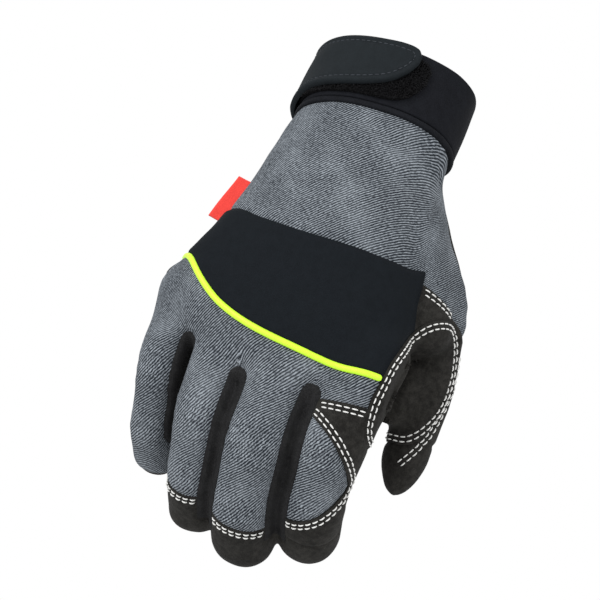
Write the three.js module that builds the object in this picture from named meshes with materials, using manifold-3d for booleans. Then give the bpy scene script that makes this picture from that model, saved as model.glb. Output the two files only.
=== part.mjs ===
// A right-hand mechanic glove, shown filled as if worn, back of the hand towards -Y.
// Millimetres. The origin is the middle of the wrist opening, +Z runs out of it along the
// wrist, +X is the thumb side, and the fingers hang towards -Z and curl towards +Y.

import * as THREE from "three";
import { mergeVertices } from "three/addons/utils/BufferGeometryUtils.js";
import Module from "manifold-3d";

const wasm = await Module();
wasm.setup();

// Driving dimensions
const handLength = 152; // wrist opening to the webs between the fingers
const handWidth = 102; // across the knuckles, outside
const handDepth = 50; // back to palm at the heel of the thumb, outside
const fingerLength = 104; // knuckle joint to the tip of the middle finger
const fingerWidth = 28; // middle finger at its base, outside
const coverWall = 1.6; // denim and synthetic leather
const seamGap = 0.3; // clearance between neighbouring pieces
const webDrop = 1; // finger covers start this far past the end of the hand
const cuffHeight = 28; // elastic wrist band, without its binding
const cuffProud = 0.8; // how far the band stands out from the covers
const bindingHeight = 2.6;
const bindingProud = 1.5;
const patchThickness = 1.1; // loop patch under the strap
const strapThickness = 2.2;
const panelProud = 0.9; // padded knuckle panel above the covers
const pipingWidth = 3;
const sideWallHalf = 3.8; // half the width of a strip between two fingers
const tagLength = 22;
const tagReach = 7.5;
const tagThickness = 0.9;

const degrees = THREE.MathUtils.degToRad;

// Sections of the hand down from the wrist opening, as shares of handLength, of
// handWidth for mid_x and half_width, and of handDepth for mid_y and half_depth
const HAND = [
  { down: 0.0, mid_x: 0.052, mid_y: 0.0, half_width: 0.32, half_depth: 0.525 },
  { down: 0.2, mid_x: 0.034, mid_y: 0.0, half_width: 0.329, half_depth: 0.515 },
  { down: 0.27, mid_x: 0.016, mid_y: 0.0, half_width: 0.336, half_depth: 0.51 },
  { down: 0.36, mid_x: 0.008, mid_y: 0.0, half_width: 0.349, half_depth: 0.51 },
  { down: 0.56, mid_x: -0.001, mid_y: 0.0, half_width: 0.412, half_depth: 0.48 },
  { down: 0.74, mid_x: -0.02, mid_y: 0.0, half_width: 0.487, half_depth: 0.42 },
  { down: 0.88, mid_x: -0.035, mid_y: 0.03, half_width: 0.521, half_depth: 0.34 },
  { down: 0.96, mid_x: -0.034, mid_y: 0.1, half_width: 0.51, half_depth: 0.26 },
  { down: 1.0, mid_x: -0.031, mid_y: 0.14, half_width: 0.466, half_depth: 0.16 },
];
const HAND_SQUARENESS = 2.15;
const LITTLE_SIDE_RISE = 0.13; // share of handLength that the little-finger web sits higher

// Fingers, thumb and the heel of the thumb: root as shares of handWidth, handDepth and
// handLength, reach of fingerLength, width of fingerWidth, point as the length of the tip's
// round end in half widths, and angles in degrees
const DIGITS = {
  little: { root_x: -0.469, root_y: 0.16, root_down: 0.745, splay: 1.3, dip: 0, turn: 0,
    reach: 0.85, width: 0.81, taper: 0.115, knuckle: 18, middle: 30, end: 25, point: 0.9 },
  ring: { root_x: -0.216, root_y: 0.05, root_down: 0.82, splay: -0.35, dip: 0, turn: 0,
    reach: 0.952, width: 0.93, taper: 0.15, knuckle: 18, middle: 30, end: 25, point: 0.9 },
  middle: { root_x: 0.054, root_y: 0.0, root_down: 0.84, splay: -4.2, dip: 0, turn: 0,
    reach: 1.01, width: 1.07, taper: 0.12, knuckle: 18, middle: 30, end: 25, point: 0.9 },
  index: { root_x: 0.354, root_y: 0.0, root_down: 0.82, splay: -9, dip: 0, turn: 0,
    reach: 0.955, width: 1.04, taper: 0.14, knuckle: 18, middle: 30, end: 25, point: 0.9 },
  thumb: { root_x: 0.227, root_y: 0.27, root_down: 0.3, splay: 32.6, dip: 11, turn: -60,
    reach: 1.25, width: 0.957, taper: 0.22, knuckle: 0, middle: 26, end: 14, point: 1.45 },
  heel: { root_x: 0.15, root_y: 0.1, root_down: 0.308, splay: 33, dip: 5, turn: -60,
    reach: 0.77, width: 1.4, taper: 0.25, knuckle: 0, middle: 6, end: 6, point: 0.9 },
};
const BONES = [0.45, 0.3, 0.25];
const BEND_SPREAD = 0.1;
const TIP_FULLNESS = 0.8; // below 1 gives blunter ends
const HEEL_POINT = 0.9; // length of the round end inside the hand, in half widths

// Seams on the back of the hand, across as a share of handWidth, down of handLength
const PANEL_TOP = [
  { across: -0.6, down: 0.5 },
  { across: -0.33, down: 0.56 },
  { across: -0.21, down: 0.587 },
  { across: -0.04, down: 0.603 },
  { across: 0.16, down: 0.603 },
  { across: 0.35, down: 0.59 },
  { across: 0.45, down: 0.56 },
  { across: 0.6, down: 0.54 },
];
const PANEL_LOW = [
  { across: -0.6, down: 0.66 },
  { across: -0.46, down: 0.715 },
  { across: -0.4, down: 0.76 },
  { across: -0.343, down: 0.797 },
  { across: -0.256, down: 0.838 },
  { across: -0.108, down: 0.878 },
  { across: 0.108, down: 0.902 },
  { across: 0.273, down: 0.911 },
  { across: 0.42, down: 0.907 },
  { across: 0.6, down: 0.9 },
];
const THUMB_SIDE_SEAM = [
  { across: 0.33, down: 0.19 },
  { across: 0.385, down: 0.35 },
  { across: 0.42, down: 0.48 },
  { across: 0.447, down: 0.58 },
  { across: 0.452, down: 0.66 },
  { across: 0.45, down: 0.72 },
  { across: 0.44, down: 0.79 },
  { across: 0.43, down: 0.84 },
  { across: 0.425, down: 0.91 },
  { across: 0.43, down: 1.05 },
];
const SIDE_SEAM_Y = 0.04; // share of handDepth, back and palm covers meet here
const SIDE_PANEL_END = { down: 0.61, y: 0.34 };
const WEB_LEATHER = { top: 0.5, low: 0.72, y: 0.22 };
const PIPING_SPAN = { from: -0.5, to: 0.425 };

// Strips between the fingers, shares of the two neighbouring fingers' length
const STRIPS = [
  { name: "finger_strip_1", sides: ["little", "ring"], from: 0.19, to: 0.93 },
  { name: "finger_strip_2", sides: ["ring", "middle"], from: 0.21, to: 0.93 },
  { name: "finger_strip_3", sides: ["middle", "index"], from: 0.2, to: 0.93 },
];
const BLOCK_SIDE = 1.03; // reach of a finger's cutter to each side, of its half width
const FINGER_SEAM = 0.22; // share of a finger's half width, palm side of its middle

// Where the back covers end along each finger
const BACK_ENDS = { little: 1.06, ring: 0.79, middle: 0.8, index: 0.27 };
const INDEX_LEATHER_END = 0.9;
const INDEX_PATCH = { along: 0.58, side: -0.7, radius: 1.68 };

// Oval on the web of the thumb, seen from the back and a little below
const OVAL = { across: 0.545, y: 0.2, down: 0.81, half_long: 0.235, half_short: 0.37, tilt: -24 };
const OVAL_VIEW = { turn: 15, drop: 25 };
const OVAL_DEPTH = { front: 0.9, back: 0.34 };
const THUMB_BACK = { from: 0.5, to: 0.97 };
const THUMB_FRONT_END = 1.2;

// Strap over the back of the cuff, angles about the wrist from the thumb side
const STRAP = [
  { along: 0.0, top: -0.02, low: 1.02 },
  { along: 0.12, top: -0.02, low: 1.04 },
  { along: 0.28, top: -0.02, low: 0.94 },
  { along: 0.45, top: -0.02, low: 0.87 },
  { along: 0.65, top: -0.02, low: 0.84 },
  { along: 0.8, top: -0.02, low: 0.78 },
  { along: 0.9, top: -0.02, low: 0.64 },
  { along: 0.97, top: 0.02, low: 0.42 },
  { along: 1.0, top: 0.12, low: 0.24 },
];
const STRAP_ANGLES = { from: 196, to: 72 };
const PATCH_ANGLES = { from: 168, to: 62 };
const PATCH = [
  { along: 0.0, top: 0.1, low: 0.93 },
  { along: 0.7, top: 0.1, low: 0.93 },
  { along: 0.84, top: 0.1, low: 0.9 },
  { along: 0.93, top: 0.12, low: 0.78 },
  { along: 0.98, top: 0.18, low: 0.6 },
  { along: 1.0, top: 0.28, low: 0.46 },
];
const TAG = { down: 0.49, y: 0.03 };
const TAG_BULGE = 0.03; // room for the curve of the hand, a share of the tag's length

function blend(rows, at, column, key) {
  let i = 0;
  while (i < rows.length - 2 && at > rows[i + 1][key]) {
    i += 1;
  }
  const a = rows[i];
  const b = rows[i + 1];
  const before = rows[Math.max(i - 1, 0)];
  const after = rows[Math.min(i + 2, rows.length - 1)];
  const span = b[key] - a[key];
  const t = THREE.MathUtils.clamp((at - a[key]) / span, 0, 1);
  const slopeA = ((b[column] - before[column]) / (b[key] - before[key])) * span;
  const slopeB = ((after[column] - a[column]) / (after[key] - a[key])) * span;
  const t2 = t * t;
  const t3 = t2 * t;
  return (2 * t3 - 3 * t2 + 1) * a[column] + (t3 - 2 * t2 + t) * slopeA
    + (3 * t2 - 2 * t3) * b[column] + (t3 - t2) * slopeB;
}

function warp(geometry, map) {
  const place = geometry.attributes.position;
  const v = new THREE.Vector3();
  for (let i = 0; i < place.count; i += 1) {
    v.fromBufferAttribute(place, i);
    const moved = map(v);
    place.setXYZ(i, moved.x, moved.y, moved.z);
  }
  return geometry;
}

function solid(geometry) {
  const bare = geometry.clone();
  bare.deleteAttribute("normal");
  bare.deleteAttribute("uv");
  const merged = mergeVertices(bare, 1e-4);
  return new wasm.Manifold(new wasm.Mesh({
    numProp: 3,
    vertProperties: new Float32Array(merged.attributes.position.array),
    triVerts: new Uint32Array(merged.index.array),
  }));
}

// A point of the hand's section at an angle, ring 0 at its middle and 1 on its surface
function handPoint(angle, down, grow, ring) {
  const power = 2 / HAND_SQUARENESS;
  const halfWidth = blend(HAND, down, "half_width", "down") * handWidth + grow;
  const halfDepth = blend(HAND, down, "half_depth", "down") * handDepth + grow;
  const c = Math.cos(angle);
  const s = Math.sin(angle);
  const x = Math.sign(c) * Math.abs(c) ** power * halfWidth * ring;
  const y = -Math.sign(s) * Math.abs(s) ** power * halfDepth * ring;
  const little = THREE.MathUtils.smoothstep(-x / handWidth, 0, 0.5);
  const far = THREE.MathUtils.smoothstep(down, 0.6, 1);
  return new THREE.Vector3(
    blend(HAND, down, "mid_x", "down") * handWidth + x,
    blend(HAND, down, "mid_y", "down") * handDepth + y,
    -down * handLength * (1 - LITTLE_SIDE_RISE * little * far),
  );
}

// Depth of the back of the hand's surface at a place across it
function backDepth(across, down) {
  const halfWidth = blend(HAND, down, "half_width", "down") * handWidth;
  const halfDepth = blend(HAND, down, "half_depth", "down") * handDepth;
  const share = (across * handWidth - blend(HAND, down, "mid_x", "down") * handWidth) / halfWidth;
  const rest = Math.max(1 - Math.abs(share) ** HAND_SQUARENESS, 0);
  return blend(HAND, down, "mid_y", "down") * handDepth - halfDepth * rest ** (1 / HAND_SQUARENESS);
}

function handTube(grow, rise) {
  const geometry = new THREE.CylinderGeometry(1, 1, 1, 24, 12);
  return warp(geometry, (v) => {
    const down = 0.5 - v.y;
    const p = handPoint(Math.atan2(v.z, v.x), down, grow, Math.hypot(v.x, v.z));
    p.z += down === 0 ? rise : 0;
    return p;
  });
}

// A band around the wrist between two depths
function wristBand(top, low, outer, inner, rise) {
  const ring = (grow, extra) => warp(new THREE.CylinderGeometry(1, 1, 1, 32, 3), (v) => {
    const depth = THREE.MathUtils.lerp(top - extra, low + extra, 0.5 - v.y);
    const p = handPoint(Math.atan2(v.z, v.x), Math.max(depth, 0) / handLength, grow,
      Math.hypot(v.x, v.z));
    p.z = -depth;
    return p;
  });
  return solid(ring(outer, 0)).subtract(solid(ring(inner, rise)));
}

// The middle line of a finger: points, directions and its side vector
function spine(row) {
  const steps = 60;
  const tilt = -degrees(row.splay);
  const upright = new THREE.Vector3(0, 1, 0);
  const out = new THREE.Vector3(0, 0, -1)
    .applyAxisAngle(new THREE.Vector3(1, 0, 0), degrees(row.dip))
    .applyAxisAngle(upright, tilt);
  const across = new THREE.Vector3(1, 0, 0).applyAxisAngle(upright, tilt);
  const palm = new THREE.Vector3().crossVectors(across, out).applyAxisAngle(out, degrees(row.turn));
  const side = new THREE.Vector3().crossVectors(out, palm).normalize();
  const half = (row.width * fingerWidth) / 2;
  const length = row.reach * fingerLength - half * row.point;
  const joint = (share, at, angle) => degrees(angle)
    * THREE.MathUtils.smoothstep(share, at - BEND_SPREAD, at + BEND_SPREAD);
  const points = [];
  const directions = [];
  const place = new THREE.Vector3(
    row.root_x * handWidth, row.root_y * handDepth, -row.root_down * handLength);
  for (let i = 0; i <= steps; i += 1) {
    const share = i / steps;
    const curl = joint(share, 0, row.knuckle * 2) - degrees(row.knuckle)
      + joint(share, BONES[0], row.middle) + joint(share, BONES[0] + BONES[1], row.end);
    const along = out.clone().multiplyScalar(Math.cos(curl)).addScaledVector(palm, Math.sin(curl));
    points.push(place.clone());
    directions.push(along);
    place.addScaledVector(along, length / steps);
  }
  return { points, directions, side, half, taper: row.taper, point: row.point, length };
}

function along(line, share) {
  const steps = line.points.length - 1;
  const at = THREE.MathUtils.clamp(share, 0, 1) * steps;
  const i = Math.min(Math.floor(at), steps - 1);
  const point = line.points[i].clone().lerp(line.points[i + 1], at - i);
  const t = line.directions[i].clone().lerp(line.directions[i + 1], at - i).normalize();
  point.addScaledVector(t, (share - THREE.MathUtils.clamp(share, 0, 1)) * line.length);
  const palm = new THREE.Vector3().crossVectors(line.side, t).normalize();
  const half = line.half * (1 - line.taper * THREE.MathUtils.clamp(share, 0, 1));
  return { point, t, palm, half };
}

function digitTube(line, grow) {
  const geometry = new THREE.CapsuleGeometry(1, 1, 3, 12, 7);
  return warp(geometry, (v) => {
    const body = THREE.MathUtils.clamp(v.y, -0.5, 0.5);
    const at = along(line, 0.5 - body);
    const blunt = Math.max(Math.hypot(v.x, v.z), 0.01) ** (TIP_FULLNESS - 1);
    const size = (at.half + grow) * blunt;
    const reach = body > v.y ? line.point : HEEL_POINT;
    return at.point.addScaledVector(line.side, v.x * size)
      .addScaledVector(at.palm, -v.z * size)
      .addScaledVector(at.t, (body - v.y) * (at.half * reach + grow));
  });
}

// A block that follows a finger from its back to its side seams, or to another depth
function fingerBlock(line, from, to, grow, deep = FINGER_SEAM) {
  const geometry = new THREE.BoxGeometry(1, 1, 1, 1, 8, 1);
  return warp(geometry, (v) => {
    const first = from - grow / line.length;
    const last = to + grow / line.length;
    const at = along(line, THREE.MathUtils.lerp(first, last, v.y + 0.5));
    const low = deep * at.half + grow;
    return at.point.addScaledVector(line.side, v.x * 2 * (BLOCK_SIDE * at.half + grow))
      .addScaledVector(at.palm, THREE.MathUtils.lerp(-1.6 * at.half, low, v.z + 0.5));
  });
}

// The strip cutter between two fingers, round at its upper end
function stripBlock(strip, grow) {
  const lines = strip.sides.map((name) => lines_of[name]);
  const geometry = new THREE.BoxGeometry(1, 1, 1, 1, 9, 1);
  return warp(geometry, (v) => {
    const share = THREE.MathUtils.lerp(strip.from, strip.to, v.y + 0.5);
    const a = along(lines[0], share);
    const b = along(lines[1], share);
    const facing = b.point.clone().sub(a.point).normalize();
    const edgeA = a.point.clone().addScaledVector(facing, a.half);
    const edgeB = b.point.clone().addScaledVector(facing, -b.half);
    const middle = edgeA.lerp(edgeB, 0.5);
    const t = a.t.clone().add(b.t).normalize();
    const across = facing.addScaledVector(t, -facing.dot(t)).normalize();
    const palm = new THREE.Vector3().crossVectors(across, t).normalize();
    const depth = (share - strip.from) * lines[0].length;
    const arch = Math.sqrt(THREE.MathUtils.clamp(depth / sideWallHalf, 0.12, 1));
    const end = v.y < 0 ? -grow : grow;
    return middle.addScaledVector(across, v.x * 2 * (sideWallHalf * arch + grow))
      .addScaledVector(t, Math.abs(v.y) > 0.499 ? end : 0)
      .addScaledVector(palm, THREE.MathUtils.lerp(-1.7 * a.half, 0.55 * a.half + grow, v.z + 0.5));
  });
}

// A thin wall midway between two fingers
function betweenFingers(strip) {
  const lines = strip.sides.map((name) => lines_of[name]);
  const geometry = new THREE.BoxGeometry(1, 1, 1, 1, 9, 1);
  return warp(geometry, (v) => {
    const share = THREE.MathUtils.lerp(0, 1.1, v.y + 0.5);
    const a = along(lines[0], share);
    const b = along(lines[1], share);
    const facing = b.point.clone().sub(a.point).normalize();
    const t = a.t.clone().add(b.t).normalize();
    const across = facing.clone().addScaledVector(t, -facing.dot(t)).normalize();
    const palm = new THREE.Vector3().crossVectors(across, t).normalize();
    return a.point.clone().addScaledVector(facing, a.half)
      .lerp(b.point.clone().addScaledVector(facing, -b.half), 0.5)
      .addScaledVector(across, v.x * seamGap)
      .addScaledVector(palm, v.z * 3.6 * a.half);
  });
}

// A prism over part of the back of the hand, its outline in shares across and down
function backPrism(rows, front, back, grow) {
  const shape = new THREE.Shape(rows.map((row) => new THREE.Vector2(
    row.across * handWidth, -row.down * handLength)));
  const geometry = new THREE.ExtrudeGeometry(shape, {
    depth: back - front + grow, steps: 1, bevelEnabled: false,
  });
  return warp(geometry, (v) => new THREE.Vector3(v.x, back + grow - v.z, v.y));
}

// Rows read at even steps across the hand, moved down by a length
function edge(rows, from, to, shift) {
  const steps = 10;
  return Array.from({ length: steps + 1 }, (_, i) => {
    const across = THREE.MathUtils.lerp(from, to, i / steps);
    return { across, down: blend(rows, across, "down", "across") + shift / handLength };
  });
}

function seam(rows, from, to, shift) {
  const steps = 7;
  return Array.from({ length: steps + 1 }, (_, i) => {
    const down = THREE.MathUtils.lerp(from, to, i / steps);
    return { across: blend(rows, down, "across", "down") + shift / handWidth, down };
  });
}

function ovalPrism(grow) {
  const shape = new THREE.Shape();
  shape.absellipse(0, 0, OVAL.half_long * handLength + grow,
    OVAL.half_short * handDepth + grow, 0, Math.PI * 2, false, 0);
  const front = OVAL_DEPTH.front * handDepth;
  const geometry = new THREE.ExtrudeGeometry(shape, {
    depth: front + OVAL_DEPTH.back * handDepth + grow, steps: 1, bevelEnabled: false,
    curveSegments: 10,
  });
  geometry.translate(0, 0, -OVAL_DEPTH.back * handDepth - grow);
  geometry.rotateZ(degrees(90 + OVAL.tilt));
  geometry.rotateX(degrees(90 + OVAL_VIEW.drop));
  geometry.rotateZ(degrees(OVAL_VIEW.turn));
  geometry.translate(OVAL.across * handWidth, OVAL.y * handDepth, -OVAL.down * handLength);
  return geometry;
}

// A sheet on the outside of the cuff, along an arc of the wrist
function wristSheet(angles, top, low, lift, thickness, columns) {
  const geometry = new THREE.BoxGeometry(1, 1, 1, columns, 2, 1);
  return warp(geometry, (v) => {
    const share = v.x + 0.5;
    const angle = degrees(THREE.MathUtils.lerp(angles.to, angles.from, share));
    const down = THREE.MathUtils.lerp(top(1 - share), low(1 - share), v.y + 0.5) * cuffHeight;
    const p = handPoint(angle, Math.max(down, 0) / handLength, lift + thickness * (v.z + 0.5), 1);
    p.z = -down;
    return p;
  });
}

function pipingCord(width) {
  const rows = edge(PANEL_LOW, PIPING_SPAN.from, PIPING_SPAN.to, 0);
  const path = new THREE.CatmullRomCurve3(rows.map((row) => {
    const depth = backDepth(row.across, row.down) - pipingWidth * 0.2;
    return new THREE.Vector3(row.across * handWidth, depth, -row.down * handLength);
  }));
  const section = new THREE.Shape();
  section.absarc(0, 0, width / 2, 0, Math.PI * 2, false);
  return new THREE.ExtrudeGeometry(section, { steps: 22, curveSegments: 4, extrudePath: path });
}

const lines_of = Object.fromEntries(
  Object.entries(DIGITS).map(([name, row]) => [name, spine(row)]));

function body(grow, rise) {
  let whole = solid(handTube(grow, rise));
  for (const line of Object.values(lines_of)) {
    whole = whole.add(solid(digitTube(line, grow)));
  }
  return whole;
}

// Largest body of a cut, without the crumbs that a cut can leave
function main(piece) {
  const bodies = piece.decompose();
  return bodies.reduce((a, b) => (b.volume() > a.volume() ? b : a));
}

const inside = body(-coverWall, 5);
const outside = body(0, 0);
const belowCuff = cuffHeight + bindingHeight + 2 * seamGap;
const coverRoom = new THREE.BoxGeometry(4 * handWidth, 4 * handDepth, 4 * handLength);
coverRoom.translate(0, 0, -2 * handLength - belowCuff);
const sideY = SIDE_SEAM_Y * handDepth;
const frontY = -1.2 * handDepth;

// Piping and the groove that it lies in
const cord = solid(pipingCord(pipingWidth));
const groove = solid(pipingCord(pipingWidth + 2 * seamGap));
let rest = outside.subtract(inside).intersect(solid(coverRoom)).subtract(groove);

function take(cutter) {
  const piece = rest.intersect(cutter(0));
  rest = rest.subtract(cutter(seamGap));
  return main(piece);
}

// Strips between the fingers
const strips = STRIPS.map((strip) => take((grow) => solid(stripBlock(strip, grow))));

// Thumb web oval
const thumbOval = take((grow) => solid(ovalPrism(grow)));

// Padded knuckle panel
const panelOutline = (grow) => backPrism([
  ...edge(PANEL_TOP, -0.6, 0.447, -grow),
  ...seam(THUMB_SIDE_SEAM, 0.58, 0.9, grow),
  ...edge(PANEL_LOW, -0.6, 0.42, grow).reverse(),
], frontY, sideY, grow);
const padded = body(panelProud, 0).subtract(inside);
rest = rest.subtract(solid(panelOutline(seamGap)));
const knucklePanel = main(padded.intersect(solid(panelOutline(0)))
  .subtract(solid(ovalPrism(seamGap))).subtract(groove));

// Back of the wrist and the denim panel on the thumb side
const wristBack = take((grow) => solid(backPrism([
  { across: -0.6, down: 0.15 },
  ...seam(THUMB_SIDE_SEAM, 0.15, 0.58, grow),
  ...edge(PANEL_TOP, -0.6, 0.44, grow).reverse(),
], frontY, sideY, grow)));
const sidePanel = take((grow) => solid(backPrism([
  { across: 0.2, down: 0.15 },
  { across: 0.9, down: 0.15 },
  { across: 0.9, down: SIDE_PANEL_END.down + grow / handLength },
  { across: 0.2, down: SIDE_PANEL_END.down - 0.06 + grow / handLength },
], frontY, SIDE_PANEL_END.y * handDepth, grow)));

// Leather left between the side panel, the knuckle panel and the oval
const webLeather = take((grow) => solid(backPrism([
  { across: 0.2, down: WEB_LEATHER.top },
  { across: 0.9, down: WEB_LEATHER.top },
  { across: 0.9, down: WEB_LEATHER.low + grow / handLength },
  { across: 0.2, down: WEB_LEATHER.low + grow / handLength },
], frontY, WEB_LEATHER.y * handDepth, grow)));

// Index finger: denim patch and synthetic leather back
const indexLine = lines_of.index;
const indexPatch = take((grow) => {
  const at = along(indexLine, INDEX_PATCH.along);
  const disc = new THREE.CylinderGeometry(
    INDEX_PATCH.radius * at.half + grow, INDEX_PATCH.radius * at.half + grow, 3 * at.half, 20);
  const frame = new THREE.Matrix4().makeBasis(at.t.clone().negate(), at.palm.clone().negate(),
    indexLine.side);
  disc.applyMatrix4(frame);
  const middle = at.point.clone().addScaledVector(indexLine.side, INDEX_PATCH.side * at.half)
    .addScaledVector(at.palm, -1.5 * at.half);
  disc.translate(middle.x, middle.y, middle.z);
  return solid(disc).intersect(solid(fingerBlock(indexLine, 0, 1, grow)));
});
const indexBack = take((grow) => solid(
  fingerBlock(indexLine, BACK_ENDS.index, INDEX_LEATHER_END, grow)));

// Denim over the knuckles and the backs of the fingers
const fingerBack = take((grow) => {
  let cutter = solid(backPrism([
    ...edge(PANEL_LOW, -0.6, 0.6, -grow),
    { across: 0.6, down: 0.955 + grow / handLength },
    { across: -0.1, down: 0.955 + grow / handLength },
    { across: -0.6, down: 0.86 + grow / handLength },
  ], frontY, sideY, grow));
  for (const [name, end] of Object.entries(BACK_ENDS)) {
    cutter = cutter.add(solid(fingerBlock(lines_of[name], 0, end, grow)));
  }
  return cutter;
});

// Back of the thumb
const thumbBack = take((grow) => {
  const line = lines_of.thumb;
  return solid(fingerBlock(line, THUMB_BACK.from, THUMB_BACK.to, grow));
});

// The hand's covers end at the roots of the fingers, where the finger covers start
const thumbFront = take((grow) => solid(fingerBlock(
  lines_of.thumb, THUMB_BACK.from, THUMB_FRONT_END, grow, 1.6)));
const fingerRoom = (grow) => {
  const rows = Array.from({ length: 13 }, (_, i) => {
    const across = THREE.MathUtils.lerp(-0.7, 0.7, i / 12);
    const rise = LITTLE_SIDE_RISE * THREE.MathUtils.smoothstep(-across, 0, 0.5);
    return { across, down: 1 - rise + (webDrop - grow) / handLength };
  });
  return solid(backPrism([...rows, { across: 0.7, down: 1.6 }, { across: -0.7, down: 1.6 }],
    frontY, 2 * handDepth, 0));
};
const walls = STRIPS.map((strip) => solid(betweenFingers(strip)));

function fingerCovers(cover, names) {
  const bodies = walls.reduce((piece, wall) => piece.subtract(wall),
    cover.intersect(fingerRoom(0))).decompose();
  return names.map((name) => {
    const tube = solid(digitTube(lines_of[name], 0));
    const shares = bodies.map((one) => one.intersect(tube).volume());
    return bodies[shares.indexOf(Math.max(...shares))];
  });
}

const [littleBack, ringBack, middleBack] = fingerCovers(fingerBack, ["little", "ring", "middle"]);
const [littleFront, ringFront, middleFront, indexFront] = fingerCovers(
  rest, ["little", "ring", "middle", "index"]);
const knuckleBack = main(fingerBack.subtract(fingerRoom(seamGap)));
const palm = main(rest.subtract(fingerRoom(seamGap)));

// Cuff, its binding, the loop patch and the strap
const cuffBand = wristBand(0, cuffHeight, cuffProud, -coverWall, 3);
const binding = wristBand(cuffHeight + seamGap, cuffHeight + seamGap + bindingHeight,
  bindingProud, -coverWall, 3);
const patchLift = cuffProud + seamGap;
const patch = wristSheet(PATCH_ANGLES, (share) => blend(PATCH, share, "top", "along"),
  (share) => blend(PATCH, share, "low", "along"), patchLift, patchThickness, 20);
const strapLift = patchLift + patchThickness + seamGap;
const strap = wristSheet(STRAP_ANGLES, (share) => blend(STRAP, share, "top", "along"),
  (share) => blend(STRAP, share, "low", "along"), strapLift, strapThickness, 24);

// The tag lies along the edge of the hand at the little-finger side
const edgeOfHand = (down) => {
  const halfWidth = blend(HAND, down, "half_width", "down") * handWidth;
  return new THREE.Vector2(blend(HAND, down, "mid_x", "down") * handWidth - halfWidth,
    -down * handLength);
};
const tagTop = edgeOfHand(TAG.down - tagLength / handLength / 2);
const tagLow = edgeOfHand(TAG.down + tagLength / handLength / 2);
const tagLean = Math.atan2(tagTop.x - tagLow.x, tagTop.y - tagLow.y);
const tagOut = seamGap + TAG_BULGE * tagLength + tagReach / 2;
const tag = new THREE.BoxGeometry(tagReach, tagThickness, tagLength);
tag.translate(-tagOut, 0, 0);
tag.rotateY(tagLean);
const tagPlace = tagTop.lerp(tagLow, 0.5);

const glove = new THREE.Group();

function show(name, piece, color, roughness) {
  let geometry = piece;
  if (!piece.isBufferGeometry) {
    const mesh = piece.getMesh();
    const points = new Float32Array(mesh.numVert * 3);
    for (let i = 0; i < mesh.numVert; i += 1) {
      const first = i * mesh.numProp;
      points.set(mesh.vertProperties.subarray(first, first + 3), i * 3);
    }
    geometry = new THREE.BufferGeometry();
    geometry.setAttribute("position", new THREE.BufferAttribute(points, 3));
    geometry.setIndex(new THREE.BufferAttribute(mesh.triVerts, 1));
    geometry.computeVertexNormals();
  }
  const material = new THREE.MeshStandardMaterial({ color, roughness, metalness: 0 });
  const mesh = new THREE.Mesh(geometry, material);
  mesh.name = name;
  glove.add(mesh);
  return mesh;
}

const DENIM = 0x6f7780;
const LEATHER = 0x2d2b28;
const RUBBER = 0x23262a;
show("wrist_back", wristBack, DENIM, 0.9);
show("thumb_side_panel", sidePanel, DENIM, 0.9);
show("knuckle_panel", knucklePanel, RUBBER, 0.55);
show("piping", cord, 0xc4f23c, 0.5);
show("knuckle_back", knuckleBack, DENIM, 0.9);
show("little_back", littleBack, DENIM, 0.9);
show("ring_back", ringBack, DENIM, 0.9);
show("middle_back", middleBack, DENIM, 0.9);
STRIPS.forEach((strip, i) => show(strip.name, strips[i], 0x1c1d1f, 0.85));
show("index_back", indexBack, LEATHER, 0.85);
show("index_patch", indexPatch, DENIM, 0.9);
show("thumb_oval", thumbOval, LEATHER, 0.85);
show("thumb_web", webLeather, LEATHER, 0.85);
show("thumb_back", thumbBack, LEATHER, 0.85);
show("thumb_front", thumbFront, LEATHER, 0.85);
show("little_front", littleFront, LEATHER, 0.85);
show("ring_front", ringFront, LEATHER, 0.85);
show("middle_front", middleFront, LEATHER, 0.85);
show("index_front", indexFront, LEATHER, 0.85);
show("palm", palm, LEATHER, 0.85);
show("cuff_band", cuffBand, 0x1d2024, 0.7);
show("cuff_binding", binding, 0x16181b, 0.7);
show("loop_patch", patch, 0x191a1c, 0.95);
show("closure_strap", strap, RUBBER, 0.6);
show("side_tag", tag, 0xe2483d, 0.7).position.set(tagPlace.x, TAG.y * handDepth, tagPlace.y);

export default glove;
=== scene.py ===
import math

import bpy
import numpy as np
from mathutils import Matrix, Vector, noise
from mathutils.bvhtree import BVHTree
from mathutils.kdtree import KDTree


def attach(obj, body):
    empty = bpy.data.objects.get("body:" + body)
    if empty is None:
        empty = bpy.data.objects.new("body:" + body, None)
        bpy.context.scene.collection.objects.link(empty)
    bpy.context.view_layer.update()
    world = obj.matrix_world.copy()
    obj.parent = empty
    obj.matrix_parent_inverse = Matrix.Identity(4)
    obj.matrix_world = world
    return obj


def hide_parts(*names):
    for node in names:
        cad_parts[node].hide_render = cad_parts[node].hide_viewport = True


bl_info = {
    "name": "Mechanic glove",
    "version": (1, 0, 0),
    "blender": (4, 5, 0),
    "location": "View3D > Sidebar > Glove",
    "description": "Builds a filled right-hand mechanic glove with its cuff and strap",
    "category": "Object",
}

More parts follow.
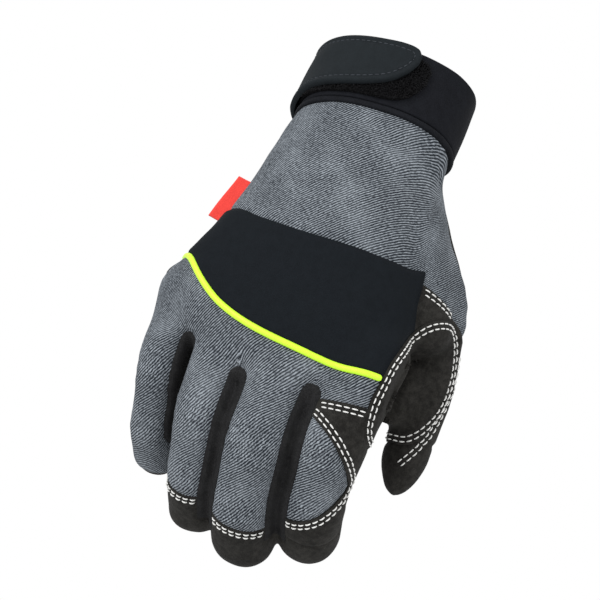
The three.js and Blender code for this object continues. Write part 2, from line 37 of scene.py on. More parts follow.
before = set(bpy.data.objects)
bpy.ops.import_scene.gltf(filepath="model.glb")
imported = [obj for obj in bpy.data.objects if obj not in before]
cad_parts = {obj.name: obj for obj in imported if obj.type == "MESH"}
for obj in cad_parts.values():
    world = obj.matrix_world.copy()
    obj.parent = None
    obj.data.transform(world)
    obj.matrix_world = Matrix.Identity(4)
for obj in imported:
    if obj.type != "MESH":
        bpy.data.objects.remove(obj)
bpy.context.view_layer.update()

# Sections of the hand down from the wrist opening, as shares of the hand's length, of its
# width for mid_x and half_width, and of its depth for mid_y and half_depth
HAND = [
    dict(down=0.0, mid_x=0.052, mid_y=0.0, half_width=0.32, half_depth=0.525),
    dict(down=0.2, mid_x=0.034, mid_y=0.0, half_width=0.329, half_depth=0.515),
    dict(down=0.27, mid_x=0.016, mid_y=0.0, half_width=0.336, half_depth=0.51),
    dict(down=0.36, mid_x=0.008, mid_y=0.0, half_width=0.349, half_depth=0.51),
    dict(down=0.56, mid_x=-0.001, mid_y=0.0, half_width=0.412, half_depth=0.48),
    dict(down=0.74, mid_x=-0.02, mid_y=0.0, half_width=0.487, half_depth=0.42),
    dict(down=0.88, mid_x=-0.035, mid_y=0.03, half_width=0.521, half_depth=0.34),
    dict(down=0.96, mid_x=-0.034, mid_y=0.1, half_width=0.51, half_depth=0.26),
    dict(down=1.0, mid_x=-0.031, mid_y=0.14, half_width=0.466, half_depth=0.16),
]
HAND_SQUARENESS = 2.15
LITTLE_SIDE_RISE = 0.13

# Fingers, thumb and heel of the thumb: root and size as shares, angles in degrees, point as
# the length of the tip's round end in half widths
DIGITS = {
    "little": dict(root=(-0.469, 0.16, 0.745), splay=1.3, dip=0, turn=0, reach=0.85, width=0.81,
                   taper=0.115, knuckle=18, middle=30, end=25, point=0.9),
    "ring": dict(root=(-0.216, 0.05, 0.82), splay=-0.35, dip=0, turn=0, reach=0.952, width=0.93,
                 taper=0.15, knuckle=18, middle=30, end=25, point=0.9),
    "middle": dict(root=(0.054, 0.0, 0.84), splay=-4.2, dip=0, turn=0, reach=1.01, width=1.07,
                   taper=0.12, knuckle=18, middle=30, end=25, point=0.9),
    "index": dict(root=(0.362, 0.0, 0.82), splay=-10, dip=0, turn=0, reach=0.955, width=1.04,
                  taper=0.14, knuckle=18, middle=30, end=25, point=0.9),
    "thumb": dict(root=(0.227, 0.27, 0.3), splay=32.6, dip=11, turn=-60, reach=1.335, width=1.05,
                  taper=0.34, knuckle=0, middle=24.5, end=12, point=2.2),
    "heel": dict(root=(0.15, 0.1, 0.308), splay=33, dip=5, turn=-60, reach=0.77, width=1.4,
                 taper=0.25, knuckle=0, middle=6, end=6, point=0.9),
}
FINGERS = ("little", "ring", "middle", "index")
BONES = (0.45, 0.3, 0.25)
BEND_SPREAD = 0.1
DIGIT_SQUARENESS = 2.25
TIP_FULLNESS = 0.8
POINTED_FULLNESS = 1.15
HEEL_POINT = 0.9
# Fullness along a finger, swollen at its joints
FULLNESS = [
    dict(share=-0.2, side=0.97, deep=0.97), dict(share=0.0, side=1.0, deep=1.0),
    dict(share=0.25, side=0.985, deep=0.98), dict(share=0.45, side=1.02, deep=1.03),
    dict(share=0.62, side=0.985, deep=0.97), dict(share=0.76, side=1.01, deep=1.0),
    dict(share=1.0, side=1.0, deep=0.97), dict(share=1.2, side=1.0, deep=0.97),
]
# Reach in millimetres of the blend between the hand and what grows out of it
BLEND = dict(thumb=7, finger=3.5, web=5)

# Seams on the back of the hand, across as a share of its width, down of its length
PANEL_TOP = [
    dict(across=-0.6, down=0.5), dict(across=-0.33, down=0.56),
    dict(across=-0.21, down=0.587), dict(across=-0.04, down=0.603),
    dict(across=0.16, down=0.603), dict(across=0.35, down=0.59),
    dict(across=0.45, down=0.56), dict(across=0.6, down=0.54),
]
PANEL_LOW = [
    dict(across=-0.6, down=0.66), dict(across=-0.46, down=0.715),
    dict(across=-0.4, down=0.76), dict(across=-0.343, down=0.797),
    dict(across=-0.256, down=0.838), dict(across=-0.108, down=0.878),
    dict(across=0.108, down=0.902), dict(across=0.273, down=0.911),
    dict(across=0.42, down=0.907), dict(across=0.6, down=0.9),
]
THUMB_SIDE_SEAM = [
    dict(across=0.33, down=0.19), dict(across=0.385, down=0.35),
    dict(across=0.42, down=0.48), dict(across=0.447, down=0.58),
    dict(across=0.458, down=0.66), dict(across=0.475, down=0.72),
    dict(across=0.49, down=0.79), dict(across=0.49, down=0.84),
    dict(across=0.48, down=0.91), dict(across=0.48, down=1.05),
]
SIDE_SEAM_Y = 0.04
THUMB_HALF = 0.2
SIDE_PANEL_END = dict(down=0.637, wrist_y=0.3, thumb_y=0.6, slant=0.06, level_at=0.9, over=0.7)
# Edge of the denim towards the fingers, lifted on the little finger's side
DENIM_END = dict(down=0.955, lift=0.095, lift_from=0.1, over=0.5)
WEB_LEATHER = dict(low=0.72, y=0.22)
PIPING_SPAN = (-0.5, 0.436)

# Strips between the fingers and the seams along each finger
STRIPS = [
    dict(name="finger_strip_1", sides=("little", "ring"), first=0.19, last=0.93),
    dict(name="finger_strip_2", sides=("ring", "middle"), first=0.21, last=0.93),
    dict(name="finger_strip_3", sides=("middle", "index"), first=0.2, last=0.93),
]
FINGER_SEAM = 0.22
BACK_ENDS = {"little": 1.06, "ring": 0.79, "middle": 0.8, "index": 0.27}
INDEX_LEATHER_END = 0.9
INDEX_EDGE_SLOPE = 0.24
INDEX_PATCH = dict(along=0.58, side=-0.7, radius=1.68)
# Turn, drop and roll, in degrees, of the view that the camera takes and that the lines around
# the thumb are drawn in
VIEW = dict(turn=15, drop=25, roll=22)
CAMERA = dict(aim=(0, 0, -0.11), away=0.9, sensor=36, lens=135)
# Oval between the thumb and the index finger: its centre, and then, in that view, its outline
# and the fold across it, to the right and up as shares of the hand's width
OVAL = dict(across=0.542, y=0.2, down=0.841)
OVAL_OUTLINE = [
    (-0.193, -0.261), (-0.22, -0.171), (-0.206, -0.108), (-0.188, -0.039), (-0.149, 0.024),
    (-0.125, 0.079), (-0.075, 0.149), (-0.012, 0.218), (0.038, 0.249), (0.101, 0.259),
    (0.137, 0.249), (0.163, 0.212), (0.173, 0.161), (0.167, 0.079), (0.153, 0.005),
    (0.131, -0.071), (0.094, -0.139), (0.051, -0.188), (0.007, -0.226), (-0.043, -0.245),
    (-0.087, -0.233), (-0.119, -0.226), (-0.157, -0.239),
]
# How far the oval goes behind the thumb's axis, as a share of the hand's depth
OVAL_BACK = 0.12
WEB_FOLD = [(0.01, 0.205), (-0.039, 0.141), (-0.078, 0.086), (-0.11, 0.031), (-0.129, -0.024),
            (-0.145, -0.086), (-0.15, -0.149), (-0.155, -0.2)]
THUMB_BACK = dict(first=0.5, last=0.97)

# Strap over the back of the cuff, along its length from the sewn end to the free tip
STRAP = [
    dict(along=0.0, top=-0.02, low=1.02), dict(along=0.12, top=-0.02, low=1.04),
    dict(along=0.28, top=-0.02, low=0.94), dict(along=0.45, top=-0.02, low=0.87),
    dict(along=0.65, top=-0.02, low=0.84), dict(along=0.8, top=-0.02, low=0.78),
    dict(along=0.9, top=-0.02, low=0.64), dict(along=0.97, top=0.02, low=0.42),
    dict(along=1.0, top=0.12, low=0.24),
]
STRAP_ANGLES = (196, 72)
PATCH_ANGLES = (168, 62)
PATCH = [
    dict(along=0.0, top=0.12, low=0.92), dict(along=0.7, top=0.12, low=0.93),
    dict(along=0.84, top=0.12, low=0.9), dict(along=0.93, top=0.14, low=0.78),
    dict(along=0.98, top=0.2, low=0.6), dict(along=1.0, top=0.3, low=0.46),
]
TAG = dict(down=0.49, y=0.03, bulge=0.03)

# Stitched lines and the seam on the thumb, drawn as the oval is
THUMB_ROWS = [
    (-0.059, -0.322), (-0.024, -0.294), (0.024, -0.251), (0.055, -0.216), (0.094, -0.153),
    (0.125, -0.094), (0.155, -0.024), (0.173, 0.051), (0.182, 0.114),
]
THUMB_SEAM = [(-0.063, -0.33), (-0.067, -0.39), (-0.071, -0.45)]
# Cloth between the thumb and the index finger: its two ends, its place towards the front and
# its half thickness, drawn as the oval is
WEB = dict(top=(-0.02, 0.08), low=(-0.125, -0.145), front=-0.18, half=0.075)

# Soft folds: ends across and down, depth and width in millimetres
WRIST_FOLDS = [
    dict(a=(-0.02, 0.245), b=(0.16, 0.262), depth=0.9, width=2.6),
    dict(a=(0.1, 0.3), b=(0.3, 0.26), depth=0.8, width=3.4),
    dict(a=(-0.3, 0.3), b=(-0.1, 0.36), depth=0.7, width=4.5),
    dict(a=(0.05, 0.4), b=(0.36, 0.33), depth=0.6, width=5.0),
    dict(a=(-0.34, 0.42), b=(-0.18, 0.5), depth=0.6, width=5.0),
    dict(a=(0.36, 0.45), b=(0.42, 0.56), depth=0.8, width=3.5),
]
# Creases inside the bent joints: share along the digit, depth in millimetres, spread as a share
FINGER_CREASES = [
    dict(share=0.45, depth=1.1, spread=0.028), dict(share=0.5, depth=0.7, spread=0.02),
    dict(share=0.75, depth=0.9, spread=0.024),
]

TWILL = dict(pitch=0.00094, slant=-44)
# Plain cloths: colour, pitch and depth of the weave in metres, and finish
CLOTHS = {
    "panel": dict(tone="panel", pitch=0.00035, depth=0.00005, roughness=0.8, contrast=0.16,
                  gloss=0.05),
    "piping": dict(tone="piping", pitch=0.0005, depth=0.00005, roughness=0.42, contrast=0.06,
                   gloss=0.35),
    "strip": dict(tone="strip", pitch=0.0005, depth=0.0001, roughness=0.85, contrast=0.35,
                  gloss=0.08),
    "cuff": dict(tone="cuff", pitch=0.00045, depth=0.00008, roughness=0.8, contrast=0.25,
                 gloss=0.06),
    "binding": dict(tone="cuff", pitch=0.0006, depth=0.00012, roughness=0.8, contrast=0.3,
                    gloss=0.08),
    "strap": dict(tone="strap", pitch=0.0004, depth=0.00005, roughness=0.78, contrast=0.15,
                  gloss=0.08),
    "loop": dict(tone="loops", pitch=0.0009, depth=0.0003, roughness=0.95, contrast=0.5,
                 gloss=0.05),
    "tag": dict(tone="tag", pitch=0.0004, depth=0.00008, roughness=0.75, contrast=0.1,
                gloss=0.1),
    "pile": dict(tone="pile", pitch=0.0009, depth=0.0001, roughness=0.8, contrast=0.7,
                 gloss=0.15),
    "strap_thread": dict(tone="strap_thread", pitch=0.0005, depth=0.00005, roughness=0.7,
                         contrast=0.3, gloss=0.1),
}
PILE_LOOPS = 2600

# Flat size worked out for a sheet: a little more than its cover, which fills at least this share
FLAT_SLACK = 1.05
FLAT_LEAST_FILLED = 0.31

# Cover by cover: material, and in millimetres the dip at the seam, the dip's width and how far
# the middle stands out
COVERS = {
    "wrist_back": dict(key="denim", dip=0.75, spread=1.6, lift=0.0),
    "thumb_side_panel": dict(key="denim", dip=0.75, spread=1.6, lift=0.0),
    "knuckle_panel": dict(key="panel", dip=0.3, spread=1.4, lift=0.75),
    "finger_back": dict(key="denim", dip=0.7, spread=1.5, lift=0.0),
    "finger_strip_1": dict(key="strip", dip=0.5, spread=1.0, lift=0.35),
    "finger_strip_2": dict(key="strip", dip=0.5, spread=1.0, lift=0.35),
    "finger_strip_3": dict(key="strip", dip=0.5, spread=1.0, lift=0.35),
    "index_back": dict(key="leather", dip=0.1, spread=0.9, lift=0.35),
    "index_patch": dict(key="denim", dip=0.75, spread=1.4, lift=0.1),
    "thumb_oval": dict(key="leather", dip=0.1, spread=0.9, lift=0.4),
    "thumb_web": dict(key="leather", dip=0.4, spread=1.0, lift=0.15),
    "thumb_back": dict(key="leather", dip=0.5, spread=1.2, lift=0.1),
    "palm": dict(key="leather", dip=0.6, spread=1.3, lift=0.0),
}
# One cover may stand for several solids that are split at the roots of the fingers
STANDS_FOR = {
    "finger_back": ("knuckle_back", "little_back", "ring_back", "middle_back"),
    "palm": ("palm", "thumb_front", "little_front", "ring_front", "middle_front",
             "index_front"),
}

LIGHTS = [
    dict(name="key", place=(-0.75, -1.1, 0.1), energy=13, size=0.9),
    dict(name="fill", place=(0.9, -0.9, -0.1), energy=5, size=0.9),
    dict(name="top", place=(0.1, -0.2, 1.2), energy=2, size=0.8),
]
LIGHTS_AIM = (0, 0, -0.1)
FLOOR = dict(size=8, place=(0, 0, -0.75))


def measure(name, description, value):
    return bpy.props.FloatProperty(name=name, description=description, default=value,
                                   unit="LENGTH")


class GloveSizes(bpy.types.PropertyGroup):
    hand_length: measure("Hand length", "Wrist opening to the webs between the fingers", 0.152)
    hand_width: measure("Hand width", "Across the knuckles, outside the covers", 0.102)
    hand_depth: measure("Hand depth", "Back to palm at the heel of the thumb", 0.05)
    finger_length: measure("Finger length", "Knuckle to the tip of the middle finger", 0.104)
    finger_width: measure("Finger width", "Middle finger at its base", 0.028)
    cover_wall: measure("Cover wall", "Thickness of the denim and synthetic leather", 0.0016)
    cuff_height: measure("Cuff height", "Height of the elastic band", 0.028)
    cuff_proud: measure("Cuff proud", "How far the band stands out from the covers", 0.0008)
    binding_height: measure("Binding height", "Height of the edge below the cuff", 0.0026)
    strap_thickness: measure("Strap thickness", "Thickness of the closure strap", 0.0022)
    patch_thickness: measure("Loop patch thickness", "Patch under the strap", 0.0011)
    piping_width: measure("Piping width", "Cord below the knuckle panel", 0.003)
    strip_width: measure("Strip width", "Width of a strip between two fingers", 0.0076)
    tag_length: measure("Tag length", "Length of the side tag along the seam", 0.022)
    tag_reach: measure("Tag reach", "How far the side tag stands out", 0.0075)
    stitch_length: measure("Stitch length", "Length of one visible stitch", 0.0024)
    stitch_pitch: measure("Stitch pitch", "From one stitch to the next", 0.0031)
    thread_width: measure("Thread width", "Diameter of the sewing thread", 0.00062)
    grain: measure("Surface step", "From one point of the covers to the next", 0.0009)


def colour(name, description, value):
    return bpy.props.FloatVectorProperty(
        name=name, description=description, default=value, subtype="COLOR", size=3,
        min=0, max=1)


class GloveColours(bpy.types.PropertyGroup):
    denim_dark: colour("Denim dark", "Dark yarn of the twill", (0.013, 0.016, 0.021))
    denim_light: colour("Denim light", "Light yarn of the twill", (0.29, 0.32, 0.352))
    leather: colour("Leather", "Synthetic suede", (0.0145, 0.0138, 0.0125))
    panel: colour("Panel", "Padded knuckle panel", (0.0062, 0.0078, 0.0098))
    piping: colour("Piping", "Cord below the knuckle panel", (0.5, 0.86, 0.03))
    strip: colour("Strip", "Cloth between the fingers", (0.012, 0.012, 0.0125))
    cuff: colour("Cuff", "Elastic band", (0.0062, 0.0068, 0.0088))
    strap: colour("Strap", "Closure strap", (0.009, 0.0115, 0.0135))
    loops: colour("Loops", "Fuzzy loop pile", (0.003, 0.003, 0.0034))
    pile: colour("Pile", "Loose loops on the patch", (0.006, 0.006, 0.0068))
    strap_thread: colour("Strap thread", "Tonal thread", (0.03, 0.034, 0.04))
    tag: colour("Tag", "Side tag", (0.66, 0.05, 0.04))
    thread: colour("Thread", "White sewing thread", (0.72, 0.72, 0.7))


def size(name):
    return getattr(bpy.context.scene.glove_sizes, name) * 1000


def tint(name):
    return tuple(getattr(bpy.context.scene.glove_colours, name)) + (1.0,)


# Shape of the hand and fingers, in millimetres

def read_rows(rows, at, column, key="down"):
    keys = np.array([r[key] for r in rows], float)
    vals = np.array([r[column] for r in rows], float)
    at = np.clip(np.asarray(at, float), keys[0], keys[-1])
    i = np.clip(np.searchsorted(keys, at, side="right") - 1, 0, len(keys) - 2)
    before, after = np.maximum(i - 1, 0), np.minimum(i + 2, len(keys) - 1)
    span = keys[i + 1] - keys[i]
    t = (at - keys[i]) / span
    slope_a = (vals[i + 1] - vals[before]) / (keys[i + 1] - keys[before]) * span
    slope_b = (vals[after] - vals[i]) / (keys[after] - keys[i]) * span
    t2, t3 = t * t, t * t * t
    return ((2 * t3 - 3 * t2 + 1) * vals[i] + (t3 - 2 * t2 + t) * slope_a
            + (3 * t2 - 2 * t3) * vals[i + 1] + (t3 - t2) * slope_b)


def smoothstep(value, low, high):
    t = np.clip((np.asarray(value, float) - low) / (high - low), 0, 1)
    return t * t * (3 - 2 * t)


def hand_point(angle, down, grow=0.0):
    width, depth, length = size("hand_width"), size("hand_depth"), size("hand_length")
    angle, down = np.broadcast_arrays(np.asarray(angle, float), np.asarray(down, float))
    power = 2 / HAND_SQUARENESS
    hw = read_rows(HAND, down, "half_width") * width + grow
    hd = read_rows(HAND, down, "half_depth") * depth + grow
    c, s = np.cos(angle), np.sin(angle)
    x = np.sign(c) * np.abs(c) ** power * hw
    y = -np.sign(s) * np.abs(s) ** power * hd
    little = smoothstep(-x / width, 0, 0.5)
    far = smoothstep(down, 0.6, 1)
    return np.stack([
        read_rows(HAND, down, "mid_x") * width + x,
        read_rows(HAND, down, "mid_y") * depth + y,
        -down * length * (1 - LITTLE_SIDE_RISE * little * far)], -1)


def unit(vectors):
    """These directions at length one."""
    return vectors / np.maximum(np.linalg.norm(vectors, axis=1), 1e-12)[:, None]


def run_along(points):
    """Distance along a path at each of its points."""
    return np.concatenate([[0], np.cumsum(np.linalg.norm(np.diff(points, axis=0), axis=1))])


def turned(vector, axis, angle):
    return np.array(Matrix.Rotation(angle, 3, Vector(axis)) @ Vector(vector))


def spine(row):
    steps = 60
    tilt = -math.radians(row["splay"])
    out = turned(turned((0, 0, -1), (1, 0, 0), math.radians(row["dip"])), (0, 1, 0), tilt)
    across = turned((1, 0, 0), (0, 1, 0), tilt)
    palm = turned(np.cross(across, out), out, math.radians(row["turn"]))
    side = np.cross(out, palm)
    side /= np.linalg.norm(side)
    half = row["width"] * size("finger_width") / 2
    length = row["reach"] * size("finger_length") - half * row["point"]
    share = np.linspace(0, 1, steps + 1)

    def joint(at, angle):
        return math.radians(angle) * smoothstep(share, at - BEND_SPREAD, at + BEND_SPREAD)

    curl = (joint(0, row["knuckle"] * 2) - math.radians(row["knuckle"])
            + joint(BONES[0], row["middle"]) + joint(BONES[0] + BONES[1], row["end"]))
    along = np.cos(curl)[:, None] * out + np.sin(curl)[:, None] * palm
    root = np.array(row["root"]) * (size("hand_width"), size("hand_depth"),
                                    -size("hand_length"))
    points = root + np.vstack([np.zeros(3), np.cumsum(along[:-1], 0) * (length / steps)])
    return dict(points=points, along=along, side=side, half=half, taper=row["taper"],
                point=row["point"], length=length)


def on_spine(line, share):
    share = np.atleast_1d(np.asarray(share, float))
    steps = len(line["points"]) - 1
    held = np.clip(share, 0, 1)
    i = np.minimum((held * steps).astype(int), steps - 1)
    f = (held * steps - i)[:, None]
    point = line["points"][i] * (1 - f) + line["points"][i + 1] * f
    t = unit(line["along"][i] * (1 - f) + line["along"][i + 1] * f)
    point = point + t * ((share - held) * line["length"])[:, None]
    return point, t, unit(np.cross(line["side"], t)), line["half"] * (
        1 - line["taper"] * held)


def grid_faces(rows, columns, closed=True):
    """Quads of a grid of rows rings, each with that many columns."""
    faces = []
    last = columns if closed else columns - 1
    for r in range(rows - 1):
        for c in range(last):
            d = (c + 1) % columns
            faces.append((r * columns + c, r * columns + d,
                          (r + 1) * columns + d, (r + 1) * columns + c))
    return faces


def capped_rings(rings):
    """Vertices and faces of a closed tube through these rings of points."""
    rows, columns = rings.shape[:2]
    verts = rings.reshape(-1, 3)
    faces = grid_faces(rows, columns)
    top, low = len(verts), len(verts) + 1
    verts = np.vstack([verts, rings[0].mean(0), rings[-1].mean(0)])
    for c in range(columns):
        d = (c + 1) % columns
        faces.append((top, d, c))
        faces.append((low, (rows - 1) * columns + c, (rows - 1) * columns + d))
    return verts, faces


def digit_rings(line, finger):
    around, steps, caps = 48, 48, 9
    cap = np.linspace(0, math.pi / 2, caps)
    body = np.linspace(0, 1, steps + 2)[1:-1]
    share = np.concatenate([np.zeros(caps), body, np.ones(caps)])
    size_of = np.concatenate([np.sin(cap), np.ones(steps), np.cos(cap)])
    extra = np.concatenate([-np.cos(cap), np.zeros(steps), np.sin(cap)])
    extra[:caps] *= HEEL_POINT
    extra[-caps:] *= line["point"]
    size_of = np.maximum(size_of, 0.02)
    size_of[-caps:] **= TIP_FULLNESS if line["point"] < 1 else POINTED_FULLNESS
    point, t, palm, half = on_spine(line, share)
    wide = deep = np.ones(len(share))
    if finger:
        wide = read_rows(FULLNESS, share, "side", "share")
        deep = read_rows(FULLNESS, share, "deep", "share")
    angle = np.arange(around) * 2 * math.pi / around
    power = 2 / DIGIT_SQUARENESS
    c = np.sign(np.cos(angle)) * np.abs(np.cos(angle)) ** power
    s = np.sign(np.sin(angle)) * np.abs(np.sin(angle)) ** power
    centre = point + t * (extra * half)[:, None]
    reach = (half * size_of)[:, None, None]
    return (centre[:, None, :]
            + line["side"][None, None, :] * c[None, :, None] * reach * wide[:, None, None]
            + palm[:, None, :] * s[None, :, None] * reach * deep[:, None, None])


def hand_rings():
    around = 120
    down = np.linspace(0, 1, 90)
    angle = -np.arange(around) * 2 * math.pi / around
    return hand_point(angle[None, :], down[:, None] * np.ones((1, around)))


def new_object(name, verts, faces):
    """An object from points in millimetres."""
    mesh = bpy.data.meshes.new(name)
    mesh.from_pydata((np.asarray(verts, float) * 0.001).tolist(), [], faces)
    mesh.validate()
    made = bpy.data.objects.new(name, mesh)
    bpy.context.scene.collection.objects.link(made)
    return made


def only(obj):
    bpy.ops.object.select_all(action="DESELECT")
    obj.select_set(True)
    bpy.context.view_layer.objects.active = obj


def apply_all(obj):
    only(obj)
    for modifier in list(obj.modifiers):
        bpy.ops.object.modifier_apply(modifier=modifier.name)


def arrays(obj):
    mesh = obj.data
    verts = np.empty(len(mesh.vertices) * 3)
    mesh.vertices.foreach_get("co", verts)
    mesh.calc_loop_triangles()
    tris = np.empty(len(mesh.loop_triangles) * 3, int)
    mesh.loop_triangles.foreach_get("vertices", tris)
    return verts.reshape(-1, 3) * 1000, tris.reshape(-1, 3)


def links(tris):
    pairs = np.sort(np.vstack([tris[:, [0, 1]], tris[:, [1, 2]], tris[:, [2, 0]]]), 1)
    return np.unique(pairs, axis=0)


def relax(points, pairs, weight, rounds):
    count = np.bincount(pairs.ravel(), minlength=len(points)).astype(float)
    for _ in range(rounds):
        total = np.stack([
            np.bincount(pairs[:, 0], points[pairs[:, 1], k], len(points))
            + np.bincount(pairs[:, 1], points[pairs[:, 0], k], len(points))
            for k in range(3)], 1)
        mean = total / count[:, None]
        points = points + (mean - points) * (0.5 * weight)[:, None]
    return points


def vertex_normals(points, tris):
    a, b, c = points[tris[:, 0]], points[tris[:, 1]], points[tris[:, 2]]
    flat = np.cross(b - a, c - a)
    out = np.stack([np.bincount(tris.ravel(), np.repeat(flat[:, k], 3), len(points))
                    for k in range(3)], 1)
    return unit(out)


def finger_place(line, points):
    """Share along a finger, distances to its side and palm, and its half width."""
    share = np.linspace(-0.1, 1.15, 126)
    centre, t, palm, half = on_spine(line, share)
    best = np.full(len(points), 1e18)
    pick = np.zeros(len(points), int)
    for i in range(len(share)):
        d = ((points - centre[i]) ** 2).sum(1)
        closer = d < best
        best[closer] = d[closer]
        pick[closer] = i
    offset = points - centre[pick]
    run = (offset * t[pick]).sum(1)
    return dict(share=share[pick] + run / line["length"], side=offset @ line["side"],
                palm=(offset * palm[pick]).sum(1), half=half[pick],
                away=np.sqrt(best), length=line["length"])


def hand_away(points):
    """Rough distance outside the hand's own form, negative inside it."""
    width, depth, length = size("hand_width"), size("hand_depth"), size("hand_length")
    little = smoothstep(-points[:, 0] / width, 0, 0.5)
    down = -points[:, 2] / length
    down = down / (1 - LITTLE_SIDE_RISE * little * smoothstep(down, 0.55, 0.95))
    held = np.clip(down, 0, 1)
    hw = read_rows(HAND, held, "half_width") * width
    hd = read_rows(HAND, held, "half_depth") * depth
    dx = (points[:, 0] - read_rows(HAND, held, "mid_x") * width) / hw
    dy = (points[:, 1] - read_rows(HAND, held, "mid_y") * depth) / hd
    n = HAND_SQUARENESS
    rho = (np.abs(dx) ** n + np.abs(dy) ** n) ** (1 / n)
    return np.maximum((rho - 1) * np.minimum(hw, hd), (down - 1) * length)


def fold_noise(points, pitch, seed):
    shift = Vector((seed * 7.1, seed * 3.3, seed * 5.7))
    return np.array([noise.noise(Vector(p) / pitch + shift) for p in points])


# What one step leaves for the next
work = {}


def build_skin():
    """The filled outer surface of the whole glove, as points and triangles in millimetres."""
    lines = {name: spine(row) for name, row in DIGITS.items()}
    work["lines"] = lines
    parts = [new_object("form_hand", *capped_rings(hand_rings()))]
    for name, line in lines.items():
        parts.append(new_object("form_" + name,
                                *capped_rings(digit_rings(line, name != "heel"))))
    ends = np.array([(*WEB[key], WEB["front"]) for key in ("top", "low")]) * size("hand_width")
    path = oval_centre() + even(ends, 1.5) @ oval_turn().T
    parts.append(new_object("form_web", *tube(path, WEB["half"] * size("hand_width"), 16)))
    bpy.ops.object.select_all(action="DESELECT")
    for part in parts:
        part.select_set(True)
    bpy.context.view_layer.objects.active = parts[0]
    bpy.ops.object.join()
    form = parts[0]
    remesh = form.modifiers.new("Remesh", "REMESH")
    remesh.mode = "VOXEL"
    remesh.voxel_size = size("grain") / 1000
    apply_all(form)
    points, tris = arrays(form)
    bpy.data.objects.remove(form)

    pairs = links(tris)
    places = {name: finger_place(line, points) for name, line in lines.items()}
    gaps = np.stack([hand_away(points)]
                    + [places[n]["away"] - places[n]["half"] for n in DIGITS], 1)
    # Blend where the hand meets a finger or the thumb, but not between two fingers
    hand, *fingers, thumb, heel = gaps.T
    thumb_side = np.sort(np.stack([hand, thumb, heel], 1), 1)[:, 1]
    meet = np.exp(-(np.maximum(thumb_side, 0) / BLEND["thumb"]) ** 2)
    for finger in fingers:
        second = np.maximum(hand, finger)
        meet = np.maximum(meet, np.exp(-(np.maximum(second, 0) / BLEND["finger"]) ** 2))
    near_web = np.min([np.linalg.norm(points - p, axis=1) for p in path[::2]], 0)
    near_web = near_web - WEB["half"] * size("hand_width")
    meet = np.maximum(meet, np.exp(-(np.maximum(near_web, 0) / BLEND["web"]) ** 2))
    points = relax(points, pairs, np.ones(len(points)), 6)
    points = relax(points, pairs, meet, 60)
    points = relax(points, pairs, np.maximum(meet, 0.25), 14)

    normals = vertex_normals(points, tris)
    points = (points + normals * cover_folds(points, normals)[:, None]
              + oval_turn()[:, 2] * web_fold(points, normals)[:, None])
    points = relax(points, pairs, np.ones(len(points)), 2)
    work["skin"] = BVHTree.FromPolygons(points.tolist(), tris.tolist())
    return points, tris


def line_dent(across, down, fold):
    """Depth of one soft fold along a short line, in millimetres."""
    width, length = size("hand_width"), size("hand_length")
    p = np.stack([across * width, down * length], 1)
    a = np.array(fold["a"]) * (width, length)
    b = np.array(fold["b"]) * (width, length)
    t = np.clip(((p - a) @ (b - a)) / ((b - a) @ (b - a)), 0, 1)
    d = np.linalg.norm(p - (a + t[:, None] * (b - a)), axis=1)
    fade = np.sin(t * math.pi) * 0.75 + 0.25
    w = fold["width"]
    shape = np.exp(-(d / w) ** 2) - 0.45 * np.exp(-((d - 1.9 * w) / w) ** 2)
    return fold["depth"] * fade * shape


def cover_folds(points, normals):
    """Push outwards, in millimetres, of the folds and creases of the filled covers."""
    width, length = size("hand_width"), size("hand_length")
    push = 0.45 * fold_noise(points, 17, 1) + 0.22 * fold_noise(points, 8, 2)
    back = smoothstep(-normals[:, 1], 0.1, 0.6)
    across, down = points[:, 0] / width, -points[:, 2] / length
    for fold in WRIST_FOLDS:
        push -= back * line_dent(across, down, fold)
    for name in (*FINGERS, "thumb"):
        at = finger_place(work["lines"][name], points)
        near = smoothstep(at["half"] + 3 - at["away"], 0, 2)
        palm = smoothstep(at["palm"] / at["half"], 0.1, 0.8)
        back = smoothstep(-at["palm"] / at["half"], 0.0, 0.7)
        for crease in FINGER_CREASES:
            wave = crease["share"] + 0.012 * np.sin(at["side"] * 0.35)
            push -= near * palm * crease["depth"] * np.exp(
                -((at["share"] - wave) / crease["spread"]) ** 2)
            off = at["share"] - crease["share"]
            ripple = np.sin(off * 95 + at["side"] * 0.12)
            push += near * back * 0.16 * ripple * np.exp(-(off / 0.06) ** 2)
    return push


# Cutting the surface along seams

class Sheet:
    """A triangle surface with columns of values carried at its points."""

    def __init__(self, points, tris, values):
        self.points, self.tris, self.values = points, tris, values

    def packed(self, tris):
        used, new = np.unique(tris, return_inverse=True)
        return Sheet(self.points[used], new.reshape(-1, 3), self.values[used])


